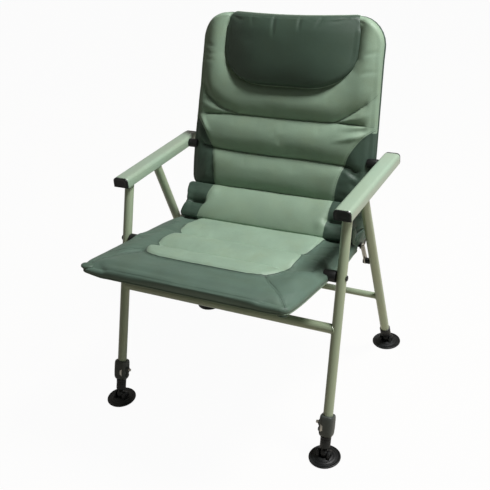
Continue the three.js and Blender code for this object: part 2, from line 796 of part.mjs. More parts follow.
const seatPad = {
  start: -seatFrontReach,
  end: seatRearReach,
  halfWidth: seatHalfWidth,
  drawIn: seatDrawIn,
  lowCorner: [seatCorner, seatCorner],
  highCorner: [seatRearCorner, seatRearCorner],
  seams: [seatSeamFront, seatSeamMiddle, seatSeamRear, seatCrease],
  seamHalfWidth: seatSeamHalfWidth,
  panelRows: 2,
  rowGap: padRowGap,
  columns: padColumns,
  rim: seatPadRim,
  crown: seatPadCrown,
  puff: seatPuff,
  root: seatPadUnder,
  roll: padEdgeRoll,
  endSag: 0,
};

function seatPadSolid() {
  let pad = toSolid(cushion(seatPad));
  pad = pad.subtract(sleeve(seatPath, turnGap));
  for (const [, side] of sides) {
    const block = barAcross(side * seatRailOffset, side * (seatHalfWidth + cutOverrun), railPivot,
      pivotBlockRadius + turnGap);
    const pin = barAcross(side * seatRailOffset, side * (seatHalfWidth + cutOverrun), stayTopPlace,
      boltHeadRadius + turnGap, boltFacets);
    pad = pad.subtract(block).subtract(pin);
  }
  return pad;
}

addMesh(seatGroup, 'seat_frame', seatFrame(), material.paint);
addMesh(seatGroup, 'seat_cross_tube', seatCrossTube(), material.paint);
addMesh(seatGroup, 'seat_pad', seatPadSolid(), material.cloth);

for (const [name, side] of sides) {
  const plate = stayPlate(side, railOuter + joinGap, bracketThickness, bracketHalfWidth,
    plateFoot, plateHead);
  const boss = barAcross(side * (backTubeOuter + turnGap), side * (railOuter + bracketThickness),
    plateHead, bracketBossRadius);
  const rivet = barAcross(side * (seatRailOffset + turnGap), side * (railOuter + bracketThickness),
    plateFoot, boltRadius, boltFacets);
  const hole = boltHole(side, backTubeOuter - cutOverrun, railOuter + boltGrip, plateHead);
  addMesh(seatGroup, `back_bracket_${name}`, plate.add(boss).add(rivet).subtract(hole),
    material.darkSteel);
  const bracketOuter = railOuter + joinGap + bracketThickness;
  addMesh(seatGroup, `back_hinge_bolt_${name}`, bolt(side, backTubeOuter - boltGrip,
    bracketOuter + joinGap, plateHead, true), material.steel);
  addMesh(seatGroup, `stay_pin_${name}`, bolt(side, railOuter - boltGrip,
    stayOffset - joinGap - boltHeadHeight, stayTopPlace, true), material.steel);
}

// Stays: short links that hold the rear legs to the seat when the chair is open
const stayGroup = leaningGroup(stayFoot, 0);
const stayTopWithin = within(stayGroup, stayTop);
const stayFootWithin = within(stayGroup, stayFoot);

for (const [name, side] of sides) {
  let stay = stayPlate(side, stayOffset, stayThickness, stayHalfWidth, stayTopWithin,
    stayFootWithin);
  for (const place of [stayTopWithin, stayFootWithin]) {
    stay = stay.subtract(boltHole(side, stayOffset - cutOverrun,
      stayOffset + stayThickness + cutOverrun, place));
  }
  addMesh(stayGroup, `stay_link_${name}`, stay, material.darkSteel);
}

// Back: a bent frame, a cross tube, the padded cover and the head pillow
const backPlane = (x, along) => new THREE.Vector3(x, -backTubeLead, along);
const backBarAt = backTop - backTopSag - seatPadUnder;
const backPath = uPath(backTubeOffset, -backFrameDrop, backBarAt, backFrameBend, backPlane);
const hingePlace = within(backGroup, backPivot);
const armPlace = within(backGroup, backArmPivot);
const backCrossPlace = new THREE.Vector2(-backTubeLead, backCrossRise);

function backFrame() {
  let frame = bentTube(backPath, tubeRadius);
  for (const [, side] of sides) {
    for (const place of [hingePlace, armPlace]) {
      frame = frame.subtract(boltHole(side, backTubeOffset, backTubeOuter + cutOverrun, place,
        turnGap));
    }
  }
  return frame;
}

function backCrossTube() {
  const bar = barAcross(-backTubeOffset, backTubeOffset, backCrossPlace, thinTubeRadius);
  const bore = barAcross(-backTubeOffset, backTubeOffset, backCrossPlace,
    thinTubeRadius - tubeWall);
  return bar.subtract(bore).subtract(sleeve(backPath, joinGap));
}

const backPad = {
  start: backPadStart,
  end: backTop,
  halfWidth: backHalfWidth,
  drawIn: backDrawIn,
  lowCorner: [backLowCorner, backLowCorner],
  highCorner: [backTopCorner, backTopCorner],
  seams: [backSeamLow, backSeamHigh, pillowLow],
  seamHalfWidth: backSeamHalfWidth,
  panelRows: 3,
  rowGap: padRowGap,
  columns: padColumns,
  rim: backPadFront,
  crown: backPadCrown,
  puff: backPuff,
  root: backPadRear,
  roll: padEdgeRoll,
  endSag: backTopSag,
};

const pillow = {
  start: pillowLow,
  end: pillowTop,
  halfWidth: pillowHalfWidth,
  drawIn: 0,
  lowCorner: [pillowLowCornerWidth, pillowLowCornerHeight],
  highCorner: [pillowTopCorner, pillowTopCorner],
  seams: [],
  seamHalfWidth: backSeamHalfWidth,
  panelRows: 6,
  rowGap: padRowGap,
  columns: pillowColumns,
  rim: backPadFront + pillowRim,
  crown: pillowCrown,
  puff: 0,
  root: -pillowRoot,
  roll: padEdgeRoll,
  endSag: backTopSag,
};

// A cushion set upright on the tube line of the back
function upright(pad, forward) {
  const geometry = cushion(pad);
  geometry.rotateX(Math.PI / 2);
  geometry.translate(0, -backTubeLead - forward, 0);
  return toSolid(geometry);
}

function backPadSolid() {
  let pad = upright(backPad, 0);
  pad = pad.subtract(sleeve(backPath, turnGap));
  pad = pad.subtract(barAcross(-backTubeOffset, backTubeOffset, backCrossPlace,
    thinTubeRadius + turnGap));
  for (const [, side] of sides) {
    const spacer = barAcross(side * backTubeOffset, side * (backHalfWidth + cutOverrun), armPlace,
      spacerRadius + turnGap);
    pad = pad.subtract(spacer);
  }
  return pad;
}

addMesh(backGroup, 'back_frame', backFrame(), material.paint);
addMesh(backGroup, 'back_cross_tube', backCrossTube(), material.paint);
addMesh(backGroup, 'back_pad', backPadSolid(), material.cloth);
addMesh(backGroup, 'head_pillow', upright(pillow, 0).subtract(upright(backPad, turnGap)),
  material.darkCloth);

// The padded panel that leans from the crease of the seat to the foot of the back pad
const panelFoot = new THREE.Vector2(seatCrease, seatPadRim + seatPuff + panelRoot + panelGap)
  .rotateAround(new THREE.Vector2(), -radians(seatSlope)).add(seatPivot);
const panelHead = new THREE.Vector2(-backTubeLead - backPadFront, backPadStart - panelGap)
  .rotateAround(new THREE.Vector2(), -radians(backRecline)).add(backPivot);
const panelRun = panelHead.clone().sub(panelFoot);
const panelGroup = leaningGroup(panelFoot, 0);
panelGroup.rotation.x = panelRun.angle();

const panel = {
  start: 0,
  end: panelRun.length(),
  halfWidth: panelHalfWidth,
  drawIn: 0,
  lowCorner: [panelCorner, panelCorner / 2],
  highCorner: [panelCorner / 2, panelCorner / 2],
  seams: [],
  seamHalfWidth: seatSeamHalfWidth,
  panelRows: 6,
  rowGap: padRowGap,
  columns: panelColumns,
  rim: panelRim,
  crown: panelCrown,
  puff: 0,
  root: panelRoot,
  roll: padEdgeRoll / 2,
  endSag: 0,
};
addMesh(panelGroup, 'lower_back_panel', toSolid(cushion(panel)), material.cloth);

// The chair stands with the middle of its outline over the origin.
const chair = new THREE.Group();
chair.add(frontGroup, rearGroup, armGroup, seatGroup, backGroup, stayGroup, panelGroup, floorGroup);
chair.updateMatrixWorld(true);
const outline = new THREE.Box3().setFromObject(chair, true);
chair.position.y = -(outline.min.y + outline.max.y) / 2;
chair.updateMatrixWorld(true);

export default chair;
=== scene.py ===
"""Folding bank-side armchair: paint, cloth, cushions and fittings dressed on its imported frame.

Places are in metres, +Z up, +Y towards the back of the chair, +X towards the armrest on the
viewer's right. Sizes, profiles and what lies in a sloping plane are in millimetres.
"""

import json
import math

import bmesh
import bpy
import numpy as np
from mathutils import Matrix, Vector, noise
from mathutils.bvhtree import BVHTree


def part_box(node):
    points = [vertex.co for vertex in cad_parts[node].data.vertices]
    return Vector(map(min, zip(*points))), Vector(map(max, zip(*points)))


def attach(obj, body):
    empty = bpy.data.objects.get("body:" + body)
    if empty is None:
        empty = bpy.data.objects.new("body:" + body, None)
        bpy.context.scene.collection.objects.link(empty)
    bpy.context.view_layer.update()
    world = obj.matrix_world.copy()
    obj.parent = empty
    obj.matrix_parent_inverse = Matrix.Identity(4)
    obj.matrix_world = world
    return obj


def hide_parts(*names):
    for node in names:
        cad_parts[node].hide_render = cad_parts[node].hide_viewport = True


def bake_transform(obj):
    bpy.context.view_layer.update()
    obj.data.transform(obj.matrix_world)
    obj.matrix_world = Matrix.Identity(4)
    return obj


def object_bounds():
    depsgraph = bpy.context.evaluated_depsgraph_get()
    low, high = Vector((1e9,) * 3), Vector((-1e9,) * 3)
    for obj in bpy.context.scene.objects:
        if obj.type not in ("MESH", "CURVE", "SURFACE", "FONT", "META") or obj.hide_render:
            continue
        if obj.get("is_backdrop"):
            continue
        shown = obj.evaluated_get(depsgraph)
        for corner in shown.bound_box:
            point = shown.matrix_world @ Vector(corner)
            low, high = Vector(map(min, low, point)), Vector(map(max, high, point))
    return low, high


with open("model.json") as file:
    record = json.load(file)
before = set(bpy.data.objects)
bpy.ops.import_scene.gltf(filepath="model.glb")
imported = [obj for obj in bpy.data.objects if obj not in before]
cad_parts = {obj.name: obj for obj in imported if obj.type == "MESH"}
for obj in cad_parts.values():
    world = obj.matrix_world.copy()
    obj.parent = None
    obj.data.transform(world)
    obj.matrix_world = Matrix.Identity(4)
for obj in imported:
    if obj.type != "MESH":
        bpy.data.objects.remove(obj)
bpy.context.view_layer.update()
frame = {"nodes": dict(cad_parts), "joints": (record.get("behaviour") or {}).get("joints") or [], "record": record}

MM = 0.001
SIDES = (("left", -1), ("right", 1))
X_AXIS = Vector((1, 0, 0))
WHITE = (1.0, 1.0, 1.0, 1.0)

# Slopes of the frame in the side view, in degrees
SEAT_SLOPE = 11.3
BACK_RECLINE = 22.4

# Tubes
TUBE_RADIUS = 11
THIN_TUBE_RADIUS = 8
TUBE_END_ROUNDING = 1.0
TUBE_SIDES = 40
FRONT_LEG_X = 276
REAR_LEG_X = 270
SEAT_RAIL_X = 226
BACK_TUBE_X = 219
BACK_TUBE_LEAD = 2.7

# Camera: where the photograph was taken from, and its frame of 490 by 490 pixels
PHOTO_SIZE = 490
FOCAL_PIXELS = 788.07
SENSOR_WIDTH = 36
CAMERA_AZIMUTH = 30.02
CAMERA_ELEVATION = 29.72
CAMERA_ROLL = -6.0
CAMERA_PLACE = (0.8083, -1.4291, 1.2971)


# Places

class Slope:
    """A slanting plane: x across the chair, along it, and out of its face, in millimetres."""

    def __init__(self, origin, degrees, upright=False):
        turn = math.radians(degrees)
        self.origin = Vector((0, origin.y, origin.z))
        if upright:
            self.along = Vector((0, math.sin(turn), math.cos(turn)))
        else:
            self.along = Vector((0, math.cos(turn), -math.sin(turn)))
        self.out = X_AXIS.cross(self.along)

    def at(self, x, along, out=0.0):
        spot = self.origin + Vector((x * MM, 0, 0))
        return spot + self.along * (float(along) * MM) + self.out * (float(out) * MM)

    def spread(self, x, along, out):
        """The same for whole arrays, as an N by 3 array."""
        points = np.outer(along * MM, self.along) + np.outer(out * MM, self.out)
        points[:, 0] += x * MM
        return points + np.array(self.origin)


class Legs:
    """A pair of legs: how far out they stand, the ball at the foot and the pin at the top."""

    def __init__(self, offset, ball, through, pin):
        self.offset, self.ball, self.pin = offset, ball, pin
        self.axis = (through - ball) * Vector((0, 1, 1))
        self.axis.normalize()

    def foot(self, side):
        return Vector((side * self.offset * MM, self.ball.y, self.ball.z))

    def top(self, side, rise):
        return Vector((side * self.offset * MM, self.pin.y, self.pin.z)) + self.axis * rise * MM

    def at(self, side, height):
        """The axis of a leg at a height above the floor."""
        return self.foot(side) + self.axis * ((height * MM - self.ball.z) / self.axis.z)


joint_place = {joint["name"]: Vector(joint["pos_m"]) for joint in frame["joints"] if "pos_m" in joint}
seat_pivot = joint_place["seat_fold"]
arm_pivot = joint_place["arm_fold"]
back_pivot = joint_place["back_fold"]
rear_pivot = joint_place["rear_leg_fold"]
front_legs = Legs(FRONT_LEG_X, joint_place["foot_tilt_front_right"], seat_pivot, arm_pivot)
rear_legs = Legs(REAR_LEG_X, joint_place["foot_tilt_rear_right"], rear_pivot, rear_pivot)

seat = Slope(seat_pivot, SEAT_SLOPE)
back = Slope(back_pivot, BACK_RECLINE, upright=True)
arm = Slope(arm_pivot, math.degrees(math.atan2(arm_pivot.z - rear_pivot.z, rear_pivot.y - arm_pivot.y)))


# Materials

class Nodes:
    """Short calls that add nodes to a tree."""

    def __init__(self, tree):
        self.tree = tree

    def feed(self, node, inputs):
        """Sets inputs to numbers and colours, or links them to the outputs of other nodes."""
        for key, value in inputs.items():
            if isinstance(value, bpy.types.NodeSocket):
                self.tree.links.new(value, node.inputs[key])
            else:
                node.inputs[key].default_value = value
        return node

    def add(self, kind, inputs, output, **settings):
        """A new node's output."""
        node = self.tree.nodes.new(kind)
        for key, value in settings.items():
            setattr(node, key, value)
        return self.feed(node, inputs).outputs[output]

    def place(self, space):
        return self.add("ShaderNodeTexCoord", {}, space)

    def noise(self, place, scale, detail, roughness=0.5):
        return self.add("ShaderNodeTexNoise", {"Vector": place, "Scale": scale, "Detail": detail,
                                               "Roughness": roughness}, "Fac")

    def ranged(self, value, low, high, start=0.0, end=1.0, **settings):
        """A value from start to end, turned into one from low to high."""
        return self.add("ShaderNodeMapRange", {"Value": value, "From Min": start, "From Max": end,
                                               "To Min": low, "To Max": high}, "Result", **settings)

    def worked(self, operation, one, two):
        return self.add("ShaderNodeMath", {0: one, 1: two}, 0, operation=operation)

    def mixed(self, share, one, two, mode="MIX"):
        """A mix of two colours."""
        return self.add("ShaderNodeMix", {0: share, 6: one, 7: two}, 2, data_type="RGBA",
                        blend_type=mode)

    def bump(self, height, strength, distance):
        return self.add("ShaderNodeBump", {"Height": height, "Strength": strength,
                                           "Distance": distance}, "Normal")


class Material(Nodes):
    """A material around its principled shader."""

    def __init__(self, name):
        self.material = bpy.data.materials.new(name)
        self.material.use_nodes = True
        super().__init__(self.material.node_tree)
        self.principled = self.tree.nodes["Principled BSDF"]

    def finish(self, inputs):
        self.feed(self.principled, inputs)
        return self.material


def rgb(hexcode):
    """A colour written as it looks on a screen, as Blender's linear values."""
    values = [int(hexcode[i:i + 2], 16) / 255 for i in (0, 2, 4)]
    return (*(v / 12.92 if v <= 0.04045 else ((v + 0.055) / 1.055) ** 2.4 for v in values), 1.0)


def paint(name, base, warm, roughness):
    """Powder coat: slight orange peel, faint clouds of colour, small scuffs."""
    made = Material(name)
    place = made.place("Object")
    scuffs = made.noise(place, 260.0, 5.0, 0.7)
    worn = made.ranged(scuffs, 0.0, 0.35, 0.68, 0.78)
    tone = made.mixed(made.noise(place, 9.0, 3.0), rgb(base), rgb(warm))
    return made.finish({
        "Base Color": made.mixed(worn, tone, rgb("d2d8cc")),
        "Roughness": made.ranged(scuffs, roughness - 0.06, roughness + 0.08),
        "Normal": made.bump(made.noise(place, 700.0, 1.0), 0.10, 0.0004),
        "Coat Weight": 0.6,
        "Coat Roughness": 0.22,
    })


def moulded(name, base, roughness):
    """Moulded black nylon with a fine spark-eroded grain and greyer, rubbed high spots."""
    made = Material(name)
    place = made.place("Object")
    rubbed = made.noise(place, 60.0, 6.0, 0.65)
    grain = made.add("ShaderNodeTexVoronoi", {"Vector": place, "Scale": 1400.0}, "Distance")
    return made.finish({
        "Base Color": made.mixed(made.ranged(rubbed, 0.0, 0.45, 0.5, 0.75), rgb(base), rgb("3c4140")),
        "Roughness": made.ranged(rubbed, roughness - 0.1, roughness + 0.12),
        "Normal": made.bump(grain, 0.12, 0.0003),
        "Specular IOR Level": 0.35,
    })


def metal(name, red, green, blue, roughness):
    """Plated steel, finely brushed, from linear values of its colour."""
    made = Material(name)
    brushed = made.noise(made.place("Object"), 900.0, 4.0)
    dull = [0.72 * value for value in (red, green, blue)]
    return made.finish({
        "Base Color": made.mixed(brushed, (red, green, blue, 1.0), (*dull, 1.0)),
        "Roughness": made.ranged(brushed, roughness - 0.08, roughness + 0.15),
        "Metallic": 1.0,
    })


def cloth(name, light, dark):
    """Coated polyester: a plain weave, faint clouds, and a darker cloth where the attribute says."""
    made = Material(name)
    place = made.place("UV")
    marked = made.add("ShaderNodeAttribute", {}, "Fac", attribute_name="dark_distance")
    share = made.ranged(marked, 0.0, 1.0, -0.0005, 0.0005, interpolation_type="SMOOTHSTEP")
    warp, weft = (made.add("ShaderNodeTexWave", {"Vector": place, "Scale": 330.0, "Distortion": 0.0},
                           "Fac", bands_direction=way) for way in "XY")
    slubs = made.noise(place, 420.0, 3.0, 0.7)
    warmth = made.ranged(made.noise(place, 17.0, 4.0, 0.6), 0.0, 0.5, 0.45, 0.75)
    tone = made.mixed(warmth, made.mixed(share, rgb(light), rgb(dark)), (1.0, 0.93, 0.84, 1.0), "MULTIPLY")
    clouded = made.ranged(made.noise(place, 11.0, 5.0), 0.91, 1.1, 0.3, 0.7)
    both = made.worked("MULTIPLY", clouded, made.ranged(slubs, 0.91, 1.09, 0.3, 0.7))
    grey = made.add("ShaderNodeCombineColor", {"Red": both, "Green": both, "Blue": both}, "Color")
    woven = made.worked("ADD", made.worked("MULTIPLY", warp, weft), slubs)
    return made.finish({
        "Base Color": made.mixed(1.0, tone, grey, "MULTIPLY"),
        "Normal": made.bump(woven, 0.25, 0.0004),
        "Roughness": 0.5,
        "Sheen Weight": 0.06,
        "Sheen Roughness": 0.45,
        "Specular IOR Level": 0.42,
    })


looks = {
    "sage_paint": paint("sage powder coat", "a0bba7", "a5b29a", 0.3),
    # The tubes get a warmer, yellower copy of the sage paint: painted warm light bounced up from the floor, which
    # the armrests don't get.
    "warm_lit_tube_paint": paint("sage powder coat of the tubes with painted warm floor light", "a1b69c", "abb08e", 0.34),
    "black_paint": paint("black tube paint", "1d1f1f", "232524", 0.42),
    "bright_steel": metal("zinc-plated steel", 0.5, 0.48, 0.43, 0.38),
    "black_steel": metal("black-plated steel", 0.035, 0.037, 0.038, 0.42),
    "black_plastic": moulded("moulded black nylon", "0e1011", 0.44),
    "rubbed_plastic": moulded("rubbed black nylon", "484d49", 0.4),
    "sage_cloth": cloth("sage polyester", "8ca38d", "3c5044"),
    "seat_cloth": cloth("sage polyester of the seat", "92aa95", "5a7063"),
    "dark_cloth": cloth("dark green polyester", "384b3e", "384b3e"),
    "gusset_cloth": cloth("dark green polyester of the gussets", "4c6254", "4c6254"),
    "piping": cloth("piping tape", "4c6154", "2e3f36"),
    "pale_piping": cloth("pale piping cord", "9fb29f", "8a9f8c"),
    "hem": cloth("pale hem tape", "8a9c86", "5f7565"),
    "thread": cloth("stitching thread", "5f7565", "3c4f43"),
}


# Meshes

def placed(name, mesh, look):
    """A new object of a mesh, at the origin."""
    mesh.materials.append(looks[look])
    piece = bpy.data.objects.new(name, mesh)
    bpy.context.scene.collection.objects.link(piece)
    return piece


def smoothed(name, made, look, degrees):
    """An object of a bmesh: smooth, with hard edges where the surface turns by more degrees."""
    made.normal_update()
    for face in made.faces:
        face.smooth = True
    for edge in made.edges:
        edge.smooth = len(edge.link_faces) == 2 and edge.calc_face_angle(0) < math.radians(degrees)
    mesh = bpy.data.meshes.new(name)
    made.to_mesh(mesh)
    made.free()
    return placed(name, mesh, look)


def build(name, points, faces, look, degrees=34.0):
    """A new object at the origin from points and faces, with its normals outwards."""
    mesh = bpy.data.meshes.new(name)
    mesh.from_pydata([tuple(p) for p in points], [], faces)
    made = bmesh.new()
    made.from_mesh(mesh)
    bpy.data.meshes.remove(mesh)
    bmesh.ops.remove_doubles(made, verts=made.verts, dist=1e-6)
    bmesh.ops.recalc_face_normals(made, faces=made.faces)
    return smoothed(name, made, look, degrees)


def dress(piece, body, slot, *nodes):
    """Puts a finished piece on its body, in place of its CAD nodes, which it hides. The slot is not used."""
    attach(piece, body)
    if nodes:
        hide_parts(*nodes)


def joined(name, pieces, look):
    """One object from several, at the origin."""
    made = bmesh.new()
    for piece in pieces:
        made.from_mesh(piece.data)
        bpy.data.objects.remove(piece)
    mesh = bpy.data.meshes.new(name)
    made.to_mesh(mesh)
    made.free()
    return placed(name, mesh, look)


def quads(rows, columns, first=0, wrap_rows=False, wrap_columns=False):
    """Quads between the points of a grid, numbered row by row from first."""
    faces = []
    for row in range(rows if wrap_rows else rows - 1):
        one, two = first + row * columns, first + (row + 1) % rows * columns
        for i in range(columns if wrap_columns else columns - 1):
            j = (i + 1) % columns
            faces.append((one + i, one + j, two + j, two + i))
    return faces


def lofted(name, rings, look, degrees=34.0, closed=False):
    """A form through rings of the same number of points, flat at its ends or closed on itself."""
    points = [point for ring in rings for point in ring]
    count = len(rings[0])
    faces = quads(len(rings), count, wrap_rows=closed, wrap_columns=True)
    if not closed:
        faces += [tuple(range(count)), tuple(range(len(points) - count, len(points)))]
    return build(name, points, faces, look, degrees)


def square_to(axis):
    """A direction square to an axis."""
    first = X_AXIS if abs(axis.x) < 0.9 else Vector((0, 0, 1))
    return (first - first.dot(axis) * axis).normalized()


def swept(name, path, radius, look, sides=TUBE_SIDES, closed=False, rounding=0.0):
    """A round bar along a path. Its ends are flat with a small rounding, or the path closes."""
    path = [Vector(p) for p in path]
    if rounding:
        path.insert(1, path[0] + (path[1] - path[0]).normalized() * rounding * MM)
        path.insert(-1, path[-1] + (path[-2] - path[-1]).normalized() * rounding * MM)
    count = len(path)
    normal, rings = None, []
    for i, spot in enumerate(path):
        before = path[i - 1] if i or closed else spot
        after = path[(i + 1) % count] if i < count - 1 or closed else spot
        tangent = (after - before).normalized()
        normal = normal or square_to(tangent)
        normal = (normal - normal.dot(tangent) * tangent).normalized()
        across = tangent.cross(normal)
        size = (radius - rounding if i in (0, count - 1) else radius) * MM
        turns = [2 * math.pi * k / sides for k in range(sides)]
        rings.append([spot + size * (math.cos(turn) * normal + math.sin(turn) * across) for turn in turns])
    return lofted(name, rings, look, closed=closed)


def turned(name, profile, origin, axis, look, sides=48):
    """A lathed piece. Its profile lists (radius, height) and starts and ends on the axis."""
    axis = Vector(axis).normalized()
    one = square_to(axis)
    two = axis.cross(one)
    points = []
    for radius, height in profile[1:-1]:
        for k in range(sides):
            turn = 2 * math.pi * k / sides
            spoke = math.cos(turn) * one + math.sin(turn) * two
            points.append(Vector(origin) + axis * height * MM + radius * MM * spoke)
    faces = quads(len(profile) - 2, sides, wrap_columns=True)
    for (_, height), start in ((profile[0], 0), (profile[-1], len(points) - sides)):
        faces += [(start + k, start + (k + 1) % sides, len(points)) for k in range(sides)]
        points.append(Vector(origin) + axis * height * MM)
    return build(name, points, faces, look)


def refined(node, body, look):
    """A finer copy of a CAD node: its flats joined, its edges rounded, smooth round its curves."""
    made = bmesh.new()
    made.from_mesh(frame["nodes"][node].data)
    bmesh.ops.remove_doubles(made, verts=made.verts, dist=2e-6)
    bmesh.ops.dissolve_limit(made, angle_limit=math.radians(1.0), verts=made.verts, edges=made.edges)
    sharp = [e for e in made.edges if len(e.link_faces) == 2 and e.calc_face_angle(0) > math.radians(50)]
    bmesh.ops.bevel(made, geom=sharp, offset=0.35 * MM, segments=2, profile=0.5, affect="EDGES",
                    clamp_overlap=True)
    dress(smoothed(node + "_finished", made, look, 40.0), body, look, node)


def flat_place(x, along):
    """A place of an outline that isn't on a slope."""
    return x, along


def rounded_u(place, half, leg_end, bar, bend, steps=14):
    """A U of two legs and a bar with round corners, from the left leg's end to the right one's."""
    towards = 1 if bar > leg_end else -1
    points = [place(-half, leg_end)]
    for side in (-1, 1):
        for i in range(steps + 1):
            turn = (i if side < 0 else steps - i) / steps * math.pi / 2
            x = side * (half - bend + bend * math.cos(turn))
            points.append(place(x, bar - towards * (bend - bend * math.sin(turn))))
    points.append(place(half, leg_end))
    return points


# Curves on a cushion, in millimetres across and along it

def smooth_line(points, steps=8):
    """A smooth line through points, by Catmull and Rom's rule."""
    points = np.array(points, float)
    count = len(points)
    made = []
    for i in range(count - 1):
        a, b, c, d = (points[min(max(i + k, 0), count - 1)] for k in (-1, 0, 1, 2))
        for t in np.arange(steps) / steps:
            made.append(0.5 * (2 * b + (c - a) * t + (2 * a - 5 * b + 4 * c - d) * t * t
                               + (3 * b - a - 3 * c + d) * t ** 3))
    return np.array(made + [points[-1]])


def distance(points, line):
    """The distance of each point to a line of straight runs."""
    best = np.full(len(points), 1e9)
    for a, b in zip(line[:-1], line[1:]):
        run = b - a
        size = run @ run
        if size > 1e-9:
            share = np.clip(((points - a) @ run) / size, 0, 1)
            best = np.minimum(best, np.linalg.norm(points - a - share[:, None] * run, axis=1))
    return best


def signed_distance(points, loop):
    """The distance to a loop that closes on its first point, above zero inside it."""
    inside = np.zeros(len(points), bool)
    for a, b in zip(loop, np.roll(loop, -1, axis=0)):
        if a[1] != b[1]:
            crosses = (a[1] > points[:, 1]) != (b[1] > points[:, 1])
            x = (b[0] - a[0]) * (points[:, 1] - a[1]) / (b[1] - a[1]) + a[0]
            inside ^= crosses & (points[:, 0] < x)
    return np.where(inside, 1.0, -1.0) * distance(points, np.concatenate([loop, loop[:1]]))


def mirrored(points):
    """A line drawn for the right-hand side, on the left."""
    return [(-x, y) for x, y in points]


def straight(half, along):
    """A line straight across a cushion."""
    return np.array([(-half, along), (half, along)], float)


def folded(height, places, folds):
    """The height with folds added, each with its path, width, depth and share of depth at its start.
    A fold is a rounded ridge or, with a depth below zero, a groove, and fades out at its far end."""
    for path, width, depth, start in folds:
        line = smooth_line(path, steps=6)
        runs = np.linalg.norm(np.diff(line, axis=0), axis=1)
        best, share, done = np.full(len(places), 1e9), np.zeros(len(places)), 0.0
        for a, b, size in zip(line[:-1], line[1:], runs):
            along = np.clip(((places - a) @ (b - a)) / max(size * size, 1e-9), 0, 1)
            away = np.linalg.norm(places - a - along[:, None] * (b - a), axis=1)
            near = away < best
            best[near] = away[near]
            share[near] = (done + along[near] * size) / runs.sum()
            done += size
        strength = start + (1 - start) * np.sin(np.pi * np.clip(share * 1.6, 0, 0.5))
        strength *= np.cos(np.pi / 2 * np.clip((share - 0.3) / 0.7, 0, 1))
        height = height + depth * strength * np.exp(-((best / width) ** 2))
    return height


def over_tube(places, line):
    """The least height of cloth stretched over a tube whose axis lies in the cushion's plane."""
    away = distance(places, line)
    reach = TUBE_RADIUS + 1.4
    return np.where(away < reach, np.sqrt(np.maximum(reach ** 2 - away ** 2, 0)), -99.0)


def clouds(places, scale, seed, stretch=(1.0, 1.0)):
    """Smooth noise over the cushion, from about -1 to 1."""
    return np.array([noise.noise(Vector((x * stretch[0] / scale, y * stretch[1] / scale, seed)))
                     for x, y in places])


def puffed(away, half, power):
    """0 at a seam and 1 in the middle of a channel, round as filled cloth is."""
    return 1 - (1 - np.clip(away / half, 0, 1)) ** power


def dipped(away, width):
    """1 at a seam and 0 away from it, with a cusp as sewn padding has."""
    return np.exp(-away / width)


def mound(places, centre, spread):
    """1 at a centre and less round it, over a spread across and along."""
    return np.exp(-(((places[:, 0] - centre[0]) / spread[0]) ** 2
                    + ((places[:, 1] - centre[1]) / spread[1]) ** 2))


def ease(share):
    """A share from 0 to 1 that starts and ends softly."""
    return share * share * (3 - 2 * share)


def within(signed, width):
    """1 well inside a signed distance and 0 well outside it."""
    return 1 / (1 + np.exp(-signed / width))


def higher(one, two):
    """The greater of two heights, with a soft passage between them."""
    soft = 1.5
    return soft * np.logaddexp(one / soft, two / soft)


# Frames of the cloth simulation that fills a cushion
FILL_FRAMES = 14
# Steps of a cushion's edge from the face round to the rear
EDGE_STEPS = 8
# Distances from a seam of the rows next to it, and how far off rows still follow its line
SEAM_ROWS = (0, 1.2, 2.6, 4.4, 6.8)
SEAM_PULL = 42
# The cover is held within HOLD_NEAR of a seam, less from there on, and loose beyond HOLD_FAR
HOLD_NEAR = 1.5
HOLD_FAR = 4.0


